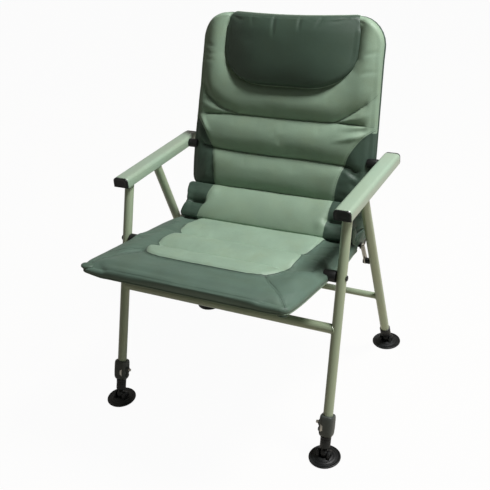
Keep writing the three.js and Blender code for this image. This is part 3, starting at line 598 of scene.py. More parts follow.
class Cushion:
    """A closed padded form over a rounded outline: a face grid, a round edge and a rear grid."""

    def __init__(self, widths, roll, low_corner, high_corner, sag=0.0, cell=4.0, seams=()):
        """widths lists (place along, half width). seams lists (place, its line) that rows follow."""
        self.widths = np.array(widths, float)
        self.start, self.end, self.roll = self.widths[0, 0], self.widths[-1, 0], roll
        self.low_corner, self.high_corner = low_corner, high_corner
        self.rows = self.spaced(self.start + roll, self.end - roll, cell, [place for place, _ in seams])
        self.columns = np.linspace(-1, 1, int(2 * self.widths[:, 1].max() / cell) + 1)
        along, share = np.meshgrid(self.rows, self.columns, indexing="ij")
        x = share * self.half_width(along)
        shift = np.zeros_like(along)
        for place, line in seams:
            follow = ease(np.clip(1 - np.abs(along - place) / SEAM_PULL, 0, 1))
            shift += (np.interp(x, line[:, 0], line[:, 1]) - place) * follow
        along = along + shift
        reach = (along - self.start) / (self.end - self.start)
        self.grid = np.stack([x, along - sag * (1 - share * share) * reach ** 4], axis=-1)

    def spaced(self, low, high, cell, seams):
        """Rows along the cushion, closer together round its corners and at its seams."""
        low_corner, high_corner = self.low_corner[1], self.high_corner[1]
        start = [low + low_corner * (1 - math.cos(t * math.pi / 2)) for t in np.linspace(0, 1, 12)[:-1]]
        end = [high - high_corner * (1 - math.cos(t * math.pi / 2)) for t in np.linspace(0, 1, 16)[:-1]]
        stops = [low + low_corner, *seams, high - high_corner]
        inner = []
        for a, b in zip(stops[:-1], stops[1:]):
            near = [a + v for v in SEAM_ROWS] if a != stops[0] else [a]
            far = [b - v for v in SEAM_ROWS[:0:-1]] if b != stops[-1] else [b - cell / 2]
            count = max(int((far[0] - near[-1]) / cell), 1)
            inner += near + list(np.linspace(near[-1], far[0], count + 1)[1:-1]) + far
        return np.array(start + inner + [stops[-1]] + end[::-1])

    def half_width(self, along):
        half = np.interp(along, self.widths[:, 0], self.widths[:, 1]) - self.roll
        for (inset, length), away in ((self.low_corner, along - self.start - self.roll),
                                      (self.high_corner, self.end - self.roll - along)):
            half = half - inset * (1 - np.sqrt(1 - np.clip(1 - away / length, 0, 1) ** 2))
        return half

    def border(self):
        """Grid indices round the border, in order."""
        rows, columns = len(self.rows), len(self.columns)
        ring = [(0, c) for c in range(columns - 1)]
        ring += [(r, columns - 1) for r in range(rows - 1)]
        ring += [(rows - 1, c) for c in range(columns - 1, 0, -1)]
        return ring + [(r, 0) for r in range(rows - 1, 0, -1)]

    def outward(self):
        """The border's points and their outward directions in the plane."""
        points = np.array([self.grid[r, c] for r, c in self.border()])
        run = np.roll(points, -1, axis=0) - np.roll(points, 1, axis=0)
        away = np.stack([run[:, 1], -run[:, 0]], axis=-1)
        away /= np.linalg.norm(away, axis=1)[:, None] + 1e-12
        for _ in range(3):
            away = (np.roll(away, 1, axis=0) + 2 * away + np.roll(away, -1, axis=0)) / 4
        return points, away / np.linalg.norm(away, axis=1)[:, None]

    def make(self, name, slope, face, rear, dark, look, edge=None):
        """The mesh. face, rear and dark are functions of N by 2 places, and edge says how far the
        face leans out over the rear round the border and how round the edge is."""
        rows, columns = self.grid.shape[:2]
        flat = self.grid.reshape(-1, 2)
        face_out, rear_out, face_dark = face(flat), rear(flat), dark(flat)
        border, away = self.outward()
        picks = np.array([r * columns + c for r, c in self.border()])
        count = len(picks)
        middle = (face_out[picks] + rear_out[picks]) / 2
        depth = (face_out[picks] - rear_out[picks]) / 2
        lean, power = edge(border) if edge else (np.zeros(count), np.ones(count))
        places, outs, darks, uvs = [flat], [face_out], [face_dark], [flat]
        rings = [picks]
        for k in range(1, EDGE_STEPS):
            turn = math.pi * k / EDGE_STEPS
            level = math.copysign(1, math.cos(turn)) * abs(math.cos(turn)) ** power
            reach = self.roll * math.sin(turn) ** power + lean * level
            places.append(border + away * reach[:, None])
            outs.append(middle + depth * level)
            darks.append(np.maximum(face_dark[picks], (turn - math.pi / 2) * self.roll - 0.3))
            uvs.append(border + away * (turn * self.roll))
            rings.append(len(flat) + (k - 1) * count + np.arange(count))
        rear_start = len(flat) + (EDGE_STEPS - 1) * count
        rings.append(rear_start + picks)
        place = np.concatenate(places + [flat])
        out = np.concatenate(outs + [rear_out])
        dark_distance = np.concatenate(darks + [np.full(len(flat), 20.0)])
        faces = quads(rows, columns)
        for one, two in zip(rings, rings[1:]):
            corners = zip(one, two, np.roll(two, -1), np.roll(one, -1))
            faces += [tuple(int(corner) for corner in quad) for quad in corners]
        faces += [(quad[0], *quad[:0:-1]) for quad in quads(rows, columns, rear_start)]
        mesh = bpy.data.meshes.new(name)
        mesh.from_pydata(slope.spread(place[:, 0], place[:, 1], out).tolist(), [], faces)
        attribute = mesh.attributes.new("dark_distance", "FLOAT", "POINT")
        attribute.data.foreach_set("value", (dark_distance * MM).astype(np.float32))
        uv = np.concatenate(uvs + [flat]) * MM
        layer = mesh.uv_layers.new(name="cloth")
        corners = np.zeros(len(mesh.loops), np.int32)
        mesh.loops.foreach_get("vertex_index", corners)
        layer.data.foreach_set("uv", uv[corners].astype(np.float32).ravel())
        made = bmesh.new()
        made.from_mesh(mesh)
        bmesh.ops.recalc_face_normals(made, faces=made.faces)
        for polygon in made.faces:
            polygon.smooth = True
        made.to_mesh(mesh)
        made.free()
        self.place, self.out, self.slope, self.rings = place, out, slope, rings
        return placed(name, mesh, look)

    def ring_path(self, piece, ring, outwards):
        """Where a ring of the finished edge lies, moved a little outwards."""
        points = [piece.data.vertices[int(i)].co.copy() for i in self.rings[ring]]
        centre = sum(points, Vector()) / len(points)
        square = X_AXIS.cross(self.slope.along)
        path = []
        for i in range(0, len(points), 2):
            run = points[(i + 2) % len(points)] - points[i - 2]
            away = run.cross(square).normalized()
            if away.dot(points[i] - centre) < 0:
                away = -away
            path.append(points[i] + away * outwards * MM)
        return path

    def fill(self, piece, seams, floor, pressure, cap):
        """Fills the sewn cover by cloth simulation: seams and what lies below a level hold, and
        the cloth between them swells by no more than a cap."""
        held = np.clip((floor + 5 - self.out) / 5, 0, 1)
        for line in seams:
            near = (HOLD_FAR - distance(self.place, line)) / (HOLD_FAR - HOLD_NEAR)
            held = np.maximum(held, np.clip(near, 0, 1))
        mesh = piece.data
        before = np.zeros(len(mesh.vertices) * 3, np.float32)
        mesh.vertices.foreach_get("co", before)
        group = piece.vertex_groups.new(name="sewn")
        levels = np.round(held, 1)
        for level in np.unique(levels):
            group.add([int(i) for i in np.nonzero(levels == level)[0]], float(level), "REPLACE")
        filling = piece.modifiers.new("filling", "CLOTH")
        settings = filling.settings
        settings.quality = 5
        settings.mass = 0.3
        settings.tension_stiffness = 15
        settings.compression_stiffness = 15
        settings.shear_stiffness = 8
        settings.bending_stiffness = 4.0
        settings.vertex_group_mass = "sewn"
        settings.use_pressure = True
        settings.uniform_pressure_force = pressure
        settings.shrink_min = -0.001
        settings.effector_weights.gravity = 0
        filling.collision_settings.use_collision = False
        for step in range(1, FILL_FRAMES + 1):
            bpy.context.scene.frame_set(step)
        filled = piece.evaluated_get(bpy.context.evaluated_depsgraph_get())
        after = np.zeros_like(before)
        filled.to_mesh().vertices.foreach_get("co", after)
        filled.to_mesh_clear()
        piece.modifiers.remove(filling)
        piece.vertex_groups.clear()
        bpy.context.scene.frame_set(1)
        before = before.reshape(-1, 3)
        move = after.reshape(-1, 3) - before
        pairs = np.zeros(len(mesh.edges) * 2, np.int32)
        mesh.edges.foreach_get("vertices", pairs)
        pairs = pairs.reshape(-1, 2)
        degree = np.bincount(pairs.ravel(), minlength=len(move))[:, None]
        for _ in range(3):
            total = np.zeros_like(move)
            np.add.at(total, pairs[:, 0], move[pairs[:, 1]])
            np.add.at(total, pairs[:, 1], move[pairs[:, 0]])
            move = (move + total / degree) / 2
        size = np.linalg.norm(move, axis=1)[:, None] + 1e-12
        limit = cap * MM
        after = before + move / size * limit * np.tanh(size / limit)
        mesh.vertices.foreach_set("co", after.astype(np.float32).ravel())
        mesh.update()


# Camera, stage and light

def aim_camera():
    turn, rise, roll = (math.radians(v) for v in (CAMERA_AZIMUTH, CAMERA_ELEVATION, CAMERA_ROLL))
    backward = Vector((math.sin(turn) * math.cos(rise), -math.cos(turn) * math.cos(rise), math.sin(rise)))
    right = Vector((math.cos(turn), math.sin(turn), 0))
    up = backward.cross(right)
    right, up = (right * math.cos(roll) + up * math.sin(roll), up * math.cos(roll) - right * math.sin(roll))
    camera = bpy.data.cameras.new("photo camera")
    camera.sensor_width = SENSOR_WIDTH
    camera.lens = FOCAL_PIXELS / PHOTO_SIZE * SENSOR_WIDTH
    seen = bpy.data.objects.new("photo camera", camera)
    seen.matrix_world = Matrix((right, up, backward)).transposed().to_4x4()
    seen.matrix_world.translation = Vector(CAMERA_PLACE)
    bpy.context.scene.collection.objects.link(seen)
    bpy.context.scene.camera = seen


def seen_ray(made):
    """1 for camera and glass rays, and less for mirror rays: the room behind the camera is darker."""
    def ray(kind):
        return made.add("ShaderNodeLightPath", {}, f"Is {kind} Ray")

    mirror = made.worked("MULTIPLY", ray("Glossy"), 0.35)
    return made.worked("MAXIMUM", made.worked("MAXIMUM", ray("Camera"), mirror), ray("Transmission"))


def lay_floor():
    """A pale floor: white to the camera, and warm where it lights the chair from below."""
    half = 30.0
    mesh = bpy.data.meshes.new("floor")
    mesh.from_pydata([(-half, -half, 0), (half, -half, 0), (half, half, 0), (-half, half, 0)], [],
                     [(0, 1, 2, 3)])
    floor = bpy.data.objects.new("floor", mesh)
    bpy.context.scene.collection.objects.link(floor)
    made = Material("pale floor")
    mesh.materials.append(made.finish({"Base Color": (0.62, 0.55, 0.42, 1.0), "Roughness": 0.9}))
    share = made.worked("MULTIPLY", seen_ray(made), 0.965)
    glow = made.add("ShaderNodeEmission", {"Color": WHITE, "Strength": 1.0}, 0)
    blend = made.add("ShaderNodeMixShader", {0: share, 1: made.principled.outputs[0], 2: glow}, 0)
    made.feed(made.tree.nodes["Material Output"], {"Surface": blend})
    floor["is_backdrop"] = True


def light_world(level, tint):
    """A white background to the camera, and a dim tinted room to the chair."""
    world = bpy.data.worlds.new("studio")
    bpy.context.scene.world = world
    world.use_nodes = True
    made = Nodes(world.node_tree)
    seen = seen_ray(made)
    made.feed(made.tree.nodes["Background"], {"Color": made.mixed(seen, tint, WHITE),
                                              "Strength": made.ranged(seen, level, 1.0)})


LAMP_TARGET = (0, 0, 0.42)


def soft_lamp(name, place, size, power, colour):
    lamp = bpy.data.lights.new(name, "AREA")
    lamp.shape = "RECTANGLE"
    lamp.size, lamp.size_y = size
    lamp.energy = power
    lamp.color = colour
    held = bpy.data.objects.new(name, lamp)
    held.location = place
    held.rotation_euler = (Vector(LAMP_TARGET) - Vector(place)).to_track_quat("-Z", "Y").to_euler()
    bpy.context.scene.collection.objects.link(held)


aim_camera()
lay_floor()
light_world(0.02, (1.0, 0.93, 0.8, 1.0))
soft_lamp("overhead", (1.1, 0.38, 2.5), (0.6, 0.6), 66, (1.0, 1.0, 1.0))
soft_lamp("window on the right", (2.7, -0.5, 1.4), (1.0, 1.5), 11, (0.95, 1.0, 1.0))


# Tube frame

COLLAR_BOTTOM = 53.5
COLLAR_LIP = 8
CROSSBAR_HEIGHT = 283
REAR_CROSSBAR_HEIGHT = 176
REAR_LEG_LOW = 28.5
LEG_TOP_RISE = 5
WELD_RADIUS = 1.7

HINGE_REACH = (back_pivot - seat_pivot).dot(seat.along) / MM
SEAT_RAIL_END = HINGE_REACH + 14.7
SEAT_BAR_AT = -200
SEAT_FRAME_BEND = 62
SEAT_CROSS_AT = HINGE_REACH - 11.3
BACK_FRAME_DROP = 14
BACK_BAR_AT = 457.5
BACK_FRAME_BEND = 50
BACK_CROSS_AT = 60


# Tubes wear the warmer copy of the sage paint, with painted warm floor light in its colour.
def tube(node, body, path, radius=TUBE_RADIUS, rounding=TUBE_END_ROUNDING):
    piece = swept(f"{node}_painted", path, radius, "warm_lit_tube_paint", rounding=rounding)
    dress(piece, body, "sage_paint", node)


def crossbar(node, body, legs, height, radius, bead_radius):
    """A bar between two legs, with a weld bead round each end."""
    ends = [legs.at(side, height) for _, side in SIDES]
    across = legs.axis.cross(X_AXIS).normalized()
    parts = [swept("bar", ends, radius, "warm_lit_tube_paint")]
    steps = 36
    for end, (_, side) in zip(ends, SIDES):
        path = []
        for i in range(steps):
            turn = 2 * math.pi * i / steps
            up, out = bead_radius * math.cos(turn), bead_radius * math.sin(turn)
            reach = math.sqrt(max(TUBE_RADIUS ** 2 - out ** 2, 0)) * 0.985
            path.append(end + (-side * reach * X_AXIS + up * legs.axis + out * across) * MM)
        parts.append(swept("bead", path, WELD_RADIUS, "warm_lit_tube_paint", sides=10, closed=True))
    dress(joined(f"{node}_painted", parts, "warm_lit_tube_paint"), body, "sage_paint", node)


def on_back(x, along):
    """A place on the back's tubes."""
    return back.at(x, along, BACK_TUBE_LEAD)


for name, side in SIDES:
    low = front_legs.at(side, COLLAR_BOTTOM) + front_legs.axis * COLLAR_LIP * MM
    tube(f"front_leg_{name}", "front_frame", [low, front_legs.top(side, LEG_TOP_RISE)])
    low = rear_legs.foot(side) + rear_legs.axis * REAR_LEG_LOW * MM
    tube(f"rear_leg_{name}", "rear_frame", [low, rear_legs.top(side, LEG_TOP_RISE)])
crossbar("front_crossbar", "front_frame", front_legs, CROSSBAR_HEIGHT, TUBE_RADIUS, TUBE_RADIUS * 0.96)
crossbar("rear_crossbar", "rear_frame", rear_legs, REAR_CROSSBAR_HEIGHT, THIN_TUBE_RADIUS, THIN_TUBE_RADIUS)
tube("seat_frame", "seat", rounded_u(seat.at, SEAT_RAIL_X, SEAT_RAIL_END, SEAT_BAR_AT, SEAT_FRAME_BEND, 20))
tube("seat_cross_tube", "seat", [seat.at(side * SEAT_RAIL_X, SEAT_CROSS_AT) for _, side in SIDES],
     THIN_TUBE_RADIUS, 0)
tube("back_frame", "back", rounded_u(on_back, BACK_TUBE_X, -BACK_FRAME_DROP, BACK_BAR_AT, BACK_FRAME_BEND))
tube("back_cross_tube", "back", [on_back(side * BACK_TUBE_X, BACK_CROSS_AT) for _, side in SIDES],
     THIN_TUBE_RADIUS, 0)


# Armrests: a pressed channel with a flat, round-shouldered top

ARM_WIDTH = 40
ARM_HEIGHT = 24
ARM_TOP = 15
ARM_LOW = ARM_TOP - ARM_HEIGHT
ARM_WALL = 2
ARM_SHOULDER = 9
ARM_START = -34.5
ARM_END = 288.6
ARM_TUCK = 0.9
ARM_CAP_GAP = 0.3
REAR_CAP_SHARE = 0.94
# Share of the channel's section and reach out of its end
ARM_CAP_RINGS = [(0.99, 0.0), (0.99, 2.2), (0.975, 3.4), (0.94, 4.2), (0.88, 4.65), (0.74, 4.55), (0.7, 3.9),
                 (0.5, 3.8)]


def arm_section(inset, low):
    """The channel's outline from its left foot over the top to its right foot."""
    return rounded_u(flat_place, ARM_WIDTH / 2 - inset, low, ARM_TOP - inset, ARM_SHOULDER - inset, 8)


def armrest(name, side):
    """The painted channel: outer skin, rolled lips and inner skin, its ends turned down a little."""
    foot = ARM_LOW + ARM_WALL / 2
    outer, inner = arm_section(0, foot), arm_section(ARM_WALL, foot)
    lip = [(ARM_WIDTH / 2 - ARM_WALL / 2 + ARM_WALL / 2 * math.cos(t), foot - math.sin(t))
           for t in np.linspace(0, math.pi, 6)[1:-1]]
    section = outer + lip + inner[::-1] + mirrored(lip[::-1])
    ends = (0, 1.2, 4)
    places = [ARM_START + v for v in ends] + list(np.linspace(ARM_START + 12, ARM_END - 12, 24))
    places += [ARM_END - v for v in ends[::-1]]
    points = []
    for along in places:
        tuck = ARM_TUCK * math.exp(-min(along - ARM_START, ARM_END - along))
        for x, z in section:
            points.append(arm.at(side * FRONT_LEG_X + x * (1 - tuck / (ARM_WIDTH / 2)), along,
                                 ARM_LOW + (z - ARM_LOW) * (1 - tuck / ARM_HEIGHT)))
    count, half = len(section), len(outer)
    faces = quads(len(places), count, wrap_columns=True)
    for first in (0, (len(places) - 1) * count):
        ring = range(first, first + count)
        inner_end = half + len(lip) + half - 1
        for i in range(half - 1):
            faces.append((ring[i], ring[i + 1], ring[inner_end - 1 - i], ring[inner_end - i]))
        faces.append(tuple(ring[half - 1 + k] for k in range(len(lip) + 2)))
        faces.append((ring[0], *(ring[count - 1 - k] for k in range(len(lip) + 1))))
    piece = build(f"armrest_{name}_painted", points, faces, "sage_paint")
    dress(piece, "arms", "sage_paint", f"armrest_{name}")


def arm_cap(node, side, place, outwards, most):
    """A moulded cap that plugs the end of the channel, with a raised rim and a domed face."""
    middle = (ARM_TOP + ARM_LOW) / 2
    rings = []
    for share, reach in ARM_CAP_RINGS:
        size = min(share, most)
        along = place + outwards * reach
        rings.append([arm.at(side * FRONT_LEG_X + x * size, along, middle + (z - middle) * size)
                      for x, z in arm_section(0, ARM_LOW)])
    dress(lofted(f"{node}_moulded", rings, "black_plastic", 50), "arms", "black_plastic", node)


for name, side in SIDES:
    armrest(name, side)
    arm_cap(f"arm_cap_front_{name}", side, ARM_START - ARM_CAP_GAP, -1, 1.0)
    arm_cap(f"arm_cap_rear_{name}", side, ARM_END + ARM_CAP_GAP, 1, REAR_CAP_SHARE)


# Feet, collars and leg locks. Profiles of turned pieces list (radius, height along the axis).

lock_low, lock_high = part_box("lock_pin_right")
lock_place = (lock_low + lock_high) / 2

# Half width, half depth and height of the collar's rings
COLLAR_RINGS = [(11.2, 9.6, 0.0), (13.2, 12.0, 0.4), (15.0, 14.2, 3.5), (15.8, 15.4, 8.0),
                (16.2, 16.0, 18.0), (16.2, 16.2, 38.0), (15.9, 15.9, 43.0), (15.9, 15.7, 44.2),
                (15.4, 15.2, 45.6), (15.4, 15.0, 47.2), (14.4, 13.8, 48.6), (12.6, 12.2, 49.0),
                (11.3, 11.3, 48.9), (11.3, 11.3, 45.0)]
COLLAR_SIDES = 64
COLLAR_SQUARENESS = 3.4
GRIP_RIBS = 32
GRIP_DEPTH = 0.5
LOCK_BOSS = [(0, 12), (7.4, 12), (7.2, 18), (6.4, 19.4), (4.2, 19.6), (3.6, 18.6), (0, 18.4)]
LOCK_CLAW = [(0, 11), (6, 11), (6, 17), (5, 19), (2.5, 19.8), (0, 19.9)]
LOCK_CLAW_DROP = 15
LEVER_RADIUS = 3.0
LOCK_PIN = [(0, 10.2), (2.2, 10.2), (2.6, 10.8), (2.6, 20.2), (3.4, 20.4), (3.6, 21.0), (3.6, 24.6),
            (3.1, 25.6), (1.8, 26.0), (0, 26.0)]
# Reach out of the leg and height of the bends of the lock's leaf spring
LEAF_BENDS = [(14.2, 3), (15.2, -1), (15.5, -6), (15.1, -11), (14.0, -15)]
LEAF_ASIDE = 7.5
LEAF_HALF = 2.6
LEAF_THICKNESS = 0.9


def collar(name, side):
    """The lock housing at the foot of a front leg: a rounded box with bevelled ends and grip ribs,
    the boss and claw that carry the pin, the lever between them and a leaf spring."""
    axis, low = front_legs.axis, front_legs.at(side, COLLAR_BOTTOM)
    fore = X_AXIS.cross(axis)
    rings = []
    for half_x, half_y, height in COLLAR_RINGS:
        squareness = 2.0 if max(half_x, half_y) < 12 else COLLAR_SQUARENESS
        ring = []
        for k in range(COLLAR_SIDES):
            turn = 2 * math.pi * k / COLLAR_SIDES
            c, s = math.cos(turn), math.sin(turn)
            reach = (abs(c / half_x) ** squareness + abs(s / half_y) ** squareness) ** (-1 / squareness)
            if 12 < height < 45 and abs(c) < 0.45 and s < 0:
                reach += GRIP_DEPTH * (1 + math.cos(turn * GRIP_RIBS)) / 2
            ring.append(low + (X_AXIS * c * reach + fore * s * reach + axis * height) * MM)
        rings.append(ring)
    shell = lofted("shell", rings, "black_plastic", 40)
    inwards = -side * X_AXIS
    root = Vector((side * FRONT_LEG_X * MM, lock_place.y, lock_place.z))
    boss = turned("boss", LOCK_BOSS, root, inwards, "black_plastic")
    claw = turned("claw", LOCK_CLAW, root - axis * LOCK_CLAW_DROP * MM, inwards, "black_plastic")
    bridge = [root + (inwards * (18.2 - 2.2 * math.sin(math.pi * share)) - axis * (4 + 12 * share)) * MM
              for share in np.linspace(0, 1, 9)]
    lever = swept("lever", bridge, LEVER_RADIUS, "black_plastic", sides=16)
    housing = joined(f"leg_collar_{name}_moulded", [shell, boss, claw, lever], "rubbed_plastic")
    dress(housing, "front_frame", "black_plastic", f"leg_collar_{name}")
    rings = [[root + (inwards * (LEAF_ASIDE + wide) + fore * (reach + thick) + axis * height) * MM
              for wide, thick in ((-LEAF_HALF, 0), (-LEAF_HALF, LEAF_THICKNESS), (LEAF_HALF, LEAF_THICKNESS),
                                  (LEAF_HALF, 0))] for reach, height in LEAF_BENDS]
    dress(lofted(f"lock_spring_leaf_{name}", rings, "bright_steel", 30), "front_frame", "bright_steel")
    pin = turned(f"lock_pin_{name}_plated", LOCK_PIN, root, inwards, "bright_steel", sides=32)
    dress(pin, f"lock_pin_{name}", "bright_steel", f"lock_pin_{name}")


# The feet's dish, in (radius, height), and the rings of a cheek of its hub, in (reach, inset)
DISH = [(0, 0.0), (33.5, 0.0), (34.8, 0.4), (36.0, 2.0), (36.0, 3.6), (35.5, 4.6), (34.6, 5.0),
        (33.2, 4.7), (31.6, 3.9), (30.4, 3.7), (27.6, 4.3), (27.2, 5.2), (26.2, 5.4), (25.4, 5.0),
        (22.0, 6.0), (21.6, 6.9), (20.6, 7.1), (19.8, 6.7), (16.0, 7.6), (15.0, 8.0), (0, 8.0)]
CHEEK_RINGS = [(9.7, 0.8), (9.9, 0.0), (14.4, 0.0), (15.0, 0.5), (15.2, 1.2)]
CHEEK_HALF = 13.0
CHEEK_FOOT = 6.0
CHEEK_HEIGHT = 17
CHEEK_SHOULDER = 12.5
CHEEK_ARCH = (11.6, 10.0)
PIN_HEAD = [(0, 14.8), (3.4, 14.8), (3.4, 16.6), (2.9, 17.1), (0, 17.2)]
BALL_RADIUS = 10
NECK_ROOT = [(0, 8.5), (5.2, 8.6), (6.4, 10.2), (7.2, 11.6), (8.6, 12.8)]


def foot(end, name, ball):
    """A ball, and a dished round foot with rings and a two-cheeked hub round the ball."""
    middle = [(BALL_RADIUS * math.cos(t), BALL_RADIUS * math.sin(t))
              for t in np.linspace(-math.pi / 2, math.pi / 2, 21)[1:-1]]
    node = f"foot_ball_{end}_{name}"
    piece = turned(f"{node}_moulded", [(0, -BALL_RADIUS), *middle, (0, BALL_RADIUS)], ball, (0, 0, 1),
                   "black_plastic", sides=32)
    dress(piece, node, "black_plastic", node)
    sole = Vector((ball.x, ball.y, 0))
    parts = [turned("dish", DISH, sole, (0, 0, 1), "black_plastic", sides=72)]
    outline = [(-CHEEK_HALF, CHEEK_FOOT), (CHEEK_HALF, CHEEK_FOOT)]
    outline += [(CHEEK_ARCH[0] * math.cos(t), CHEEK_SHOULDER + CHEEK_ARCH[1] * math.sin(t))
                for t in np.linspace(0, math.pi, 13)]
    for way in (-1, 1):
        rings = [[sole + Vector((way * reach, y * (1 - inset / CHEEK_HALF),
                                 CHEEK_FOOT + (z - CHEEK_FOOT) * (1 - inset / CHEEK_HEIGHT))) * MM
                  for y, z in outline] for reach, inset in CHEEK_RINGS]
        parts.append(lofted("cheek", rings, "black_plastic", 28))
        parts.append(turned("pin head", PIN_HEAD, sole + Vector((0, 0, 15)) * MM, (way, 0, 0),
                            "black_plastic", sides=24))
    node = f"foot_disc_{end}_{name}"
    dress(joined(f"{node}_moulded", parts, "black_plastic"), node, "black_plastic", node)


def neck(node, body, legs, side, profile):
    """The moulded neck or ferrule between a leg and its ball."""
    piece = turned(f"{node}_moulded", NECK_ROOT + profile, legs.foot(side), legs.axis, "black_plastic")
    dress(piece, body, "black_plastic", node)


for name, side in SIDES:
    collar(name, side)
    top = (front_legs.at(side, COLLAR_BOTTOM) - front_legs.foot(side)).length / MM - 0.7
    grooved = [(radius, top - drop) for radius, drop in
               ((11.9, 12), (11.3, 11.4), (11.3, 10.2), (12, 9.6), (12, 7), (11.3, 6.4), (11.3, 5.2),
                (12.2, 4.6), (12.2, 0.5), (11.5, 0), (0, 0))]
    neck(f"foot_neck_{name}", f"inner_leg_{name}", front_legs, side,
         [(11.2, 13.6), (11.8, 14.8), (11.9, 16), *grooved])
    neck(f"rear_ferrule_{name}", "rear_frame", rear_legs, side,
         [(12.0, 14.0), (12.9, 15.4), (13.2, 17), (13.2, 39.5), (12.6, 41.4), (11.6, 42), (0, 42)])
    foot("front", name, front_legs.foot(side))
    foot("rear", name, rear_legs.foot(side))


# Fittings that keep the shape they have in the frame, with rounded edges, and domed pivot bolts

bodies = frame["record"]["behaviour"]["bodies"]
body_of_node = {node: body for body, nodes in bodies.items() for node in nodes}
FITTINGS = {
    "black_plastic": ("pivot_block", "back_spacer"),
    "bright_steel": ("arm_front_pin", "rear_leg_pin", "stay_link"),
    "black_paint": ("inner_leg",),
    "black_steel": ("stay_bolt", "stay_pin", "back_bracket", "back_hinge_bolt", "back_bolt"),
}
# Radius of the pivot bolts and how far inside the CAD bolt's outer end
PIVOT_BOLT_HEAD = [(4.0, 4.0), (6.4, 3.9), (6.4, 3.0), (5.6, 2.1), (3.4, 1.6), (0, 1.5)]

for name, side in SIDES:
    for look, stems in FITTINGS.items():
        for stem in stems:
            refined(f"{stem}_{name}", body_of_node[f"{stem}_{name}"], look)
    node = f"seat_pivot_bolt_{name}"
    low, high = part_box(node)
    inner, outer = sorted((abs(low.x) / MM, abs(high.x) / MM))
    profile = [(0, inner), (3.8, inner), (4.0, inner + 0.3)]
    profile += [(radius, outer - drop) for radius, drop in PIVOT_BOLT_HEAD]
    bolt = turned(f"{node}_domed", profile, (0, (low.y + high.y) / 2, (low.z + high.z) / 2), (side, 0, 0),
                  "black_steel", sides=32)
    dress(bolt, body_of_node[node], "black_steel", node)


# Seat cushion

SEAT_START = -213.5
SEAT_END = 216
SEAT_HALF = 243
SEAT_CREASE = 179
SEAT_CHANNELS = (-36, 60)
SEAT_UNDER = -12.6
SEAT_ROLL = 8
SEAT_WIDTHS = [(SEAT_START - 3, 248), (-140, 250), (-55, 250), (110, 249), (165, 243), (SEAT_END, 241)]
SCALLOPS = [(0, -115), (70, -114.5), (112, -112), (143, -104), (160, -88), (168, -66), (166, -48),
            (158, -38), (168, -24), (170, 8), (166, 36), (159, 58), (169, 72), (173, 104), (171, 140),
            (168, 176)]
MITRES = [smooth_line([(147, -103), (172, -133), (199, -161), (226, -190), (247, -218)]),
          smooth_line([(-162, -90), (-203, -142), (-244, -216)])]

# Folds of the seat. The fan at the middle of each side starts from the pivot block.
SEAT_TUCKS = [[(-170, -86), (-190, -109), (-209, -140)], [(-174, -76), (-206, -95), (-232, -130)]]
SIDE_FAN = [
    ([(244, 0), (226, 16), (206, 26), (186, 28)], 3.0, -3.4, 1.0),
    ([(244, 4), (230, 28), (214, 44), (196, 54)], 3.2, 2.6, 1.0),
    ([(244, 8), (234, 36), (224, 58)], 3.0, -3.0, 1.0),
    ([(244, -2), (220, -4), (196, -8)], 3.0, 2.4, 1.0),
    ([(244, -6), (222, -20), (200, -30)], 3.2, -2.8, 1.0),
]
SEAT_FOLDS = [
    (SEAT_TUCKS[0], 3.2, -4.2, 0.9),
    (SEAT_TUCKS[1], 3.2, -3.8, 0.9),
    ([(-174, -66), (-204, -74), (-236, -98)], 3.0, -1.6, 1.0),
    ([(-170, 58), (-196, 64), (-240, 60)], 7.0, -2.4, 1.0),
    ([(168, 60), (200, 66), (240, 72)], 7.0, -2.6, 1.0),
    ([(160, -38), (186, -34), (204, -30)], 5.0, -2.6, 1.0),
    *SIDE_FAN,
    ([(244, -10), (230, -34), (216, -54)], 3.4, 2.0, 1.0),
    *((mirrored(path), width, depth, start) for path, width, depth, start in SIDE_FAN),
    ([(-168, 106), (-200, 120), (-238, 124)], 7.0, 2.0, 0.6),
    ([(172, 110), (204, 118), (238, 114)], 7.0, 2.0, 0.6),
    ([(172, -208), (140, -200), (90, -203)], 4.0, -2.6, 0.8),
    ([(164, -36), (190, -28), (213, -17), (240, 0)], 22.0, -7.0, 0.7),
    ([(168, -38), (190, -32), (213, -22), (240, -3)], 5.0, -3.0, 0.9),
]

seat_cushion = Cushion(SEAT_WIDTHS, SEAT_ROLL, (10, 10), (20, 20),
                       seams=[(v, straight(300, v)) for v in (*SEAT_CHANNELS, SEAT_CREASE)])
panel_half = smooth_line(SCALLOPS)
panel_loop = np.concatenate([panel_half, mirrored(panel_half)[::-1]])
seat_tube = np.array(rounded_u(flat_place, SEAT_RAIL_X, 240, SEAT_BAR_AT, SEAT_FRAME_BEND))


def seat_corner(places):
    """1 at the tips of the front corners, past the bend of the tube, and 0 over the tube."""
    past = distance(places, seat_tube) - 14
    ahead = (np.abs(places[:, 0]) > 165) & (places[:, 1] < -140)
    beyond = np.hypot(np.abs(places[:, 0]) - 164, places[:, 1] + 138) > SEAT_FRAME_BEND
    return np.clip(past / 26, 0, 1) * ahead * beyond


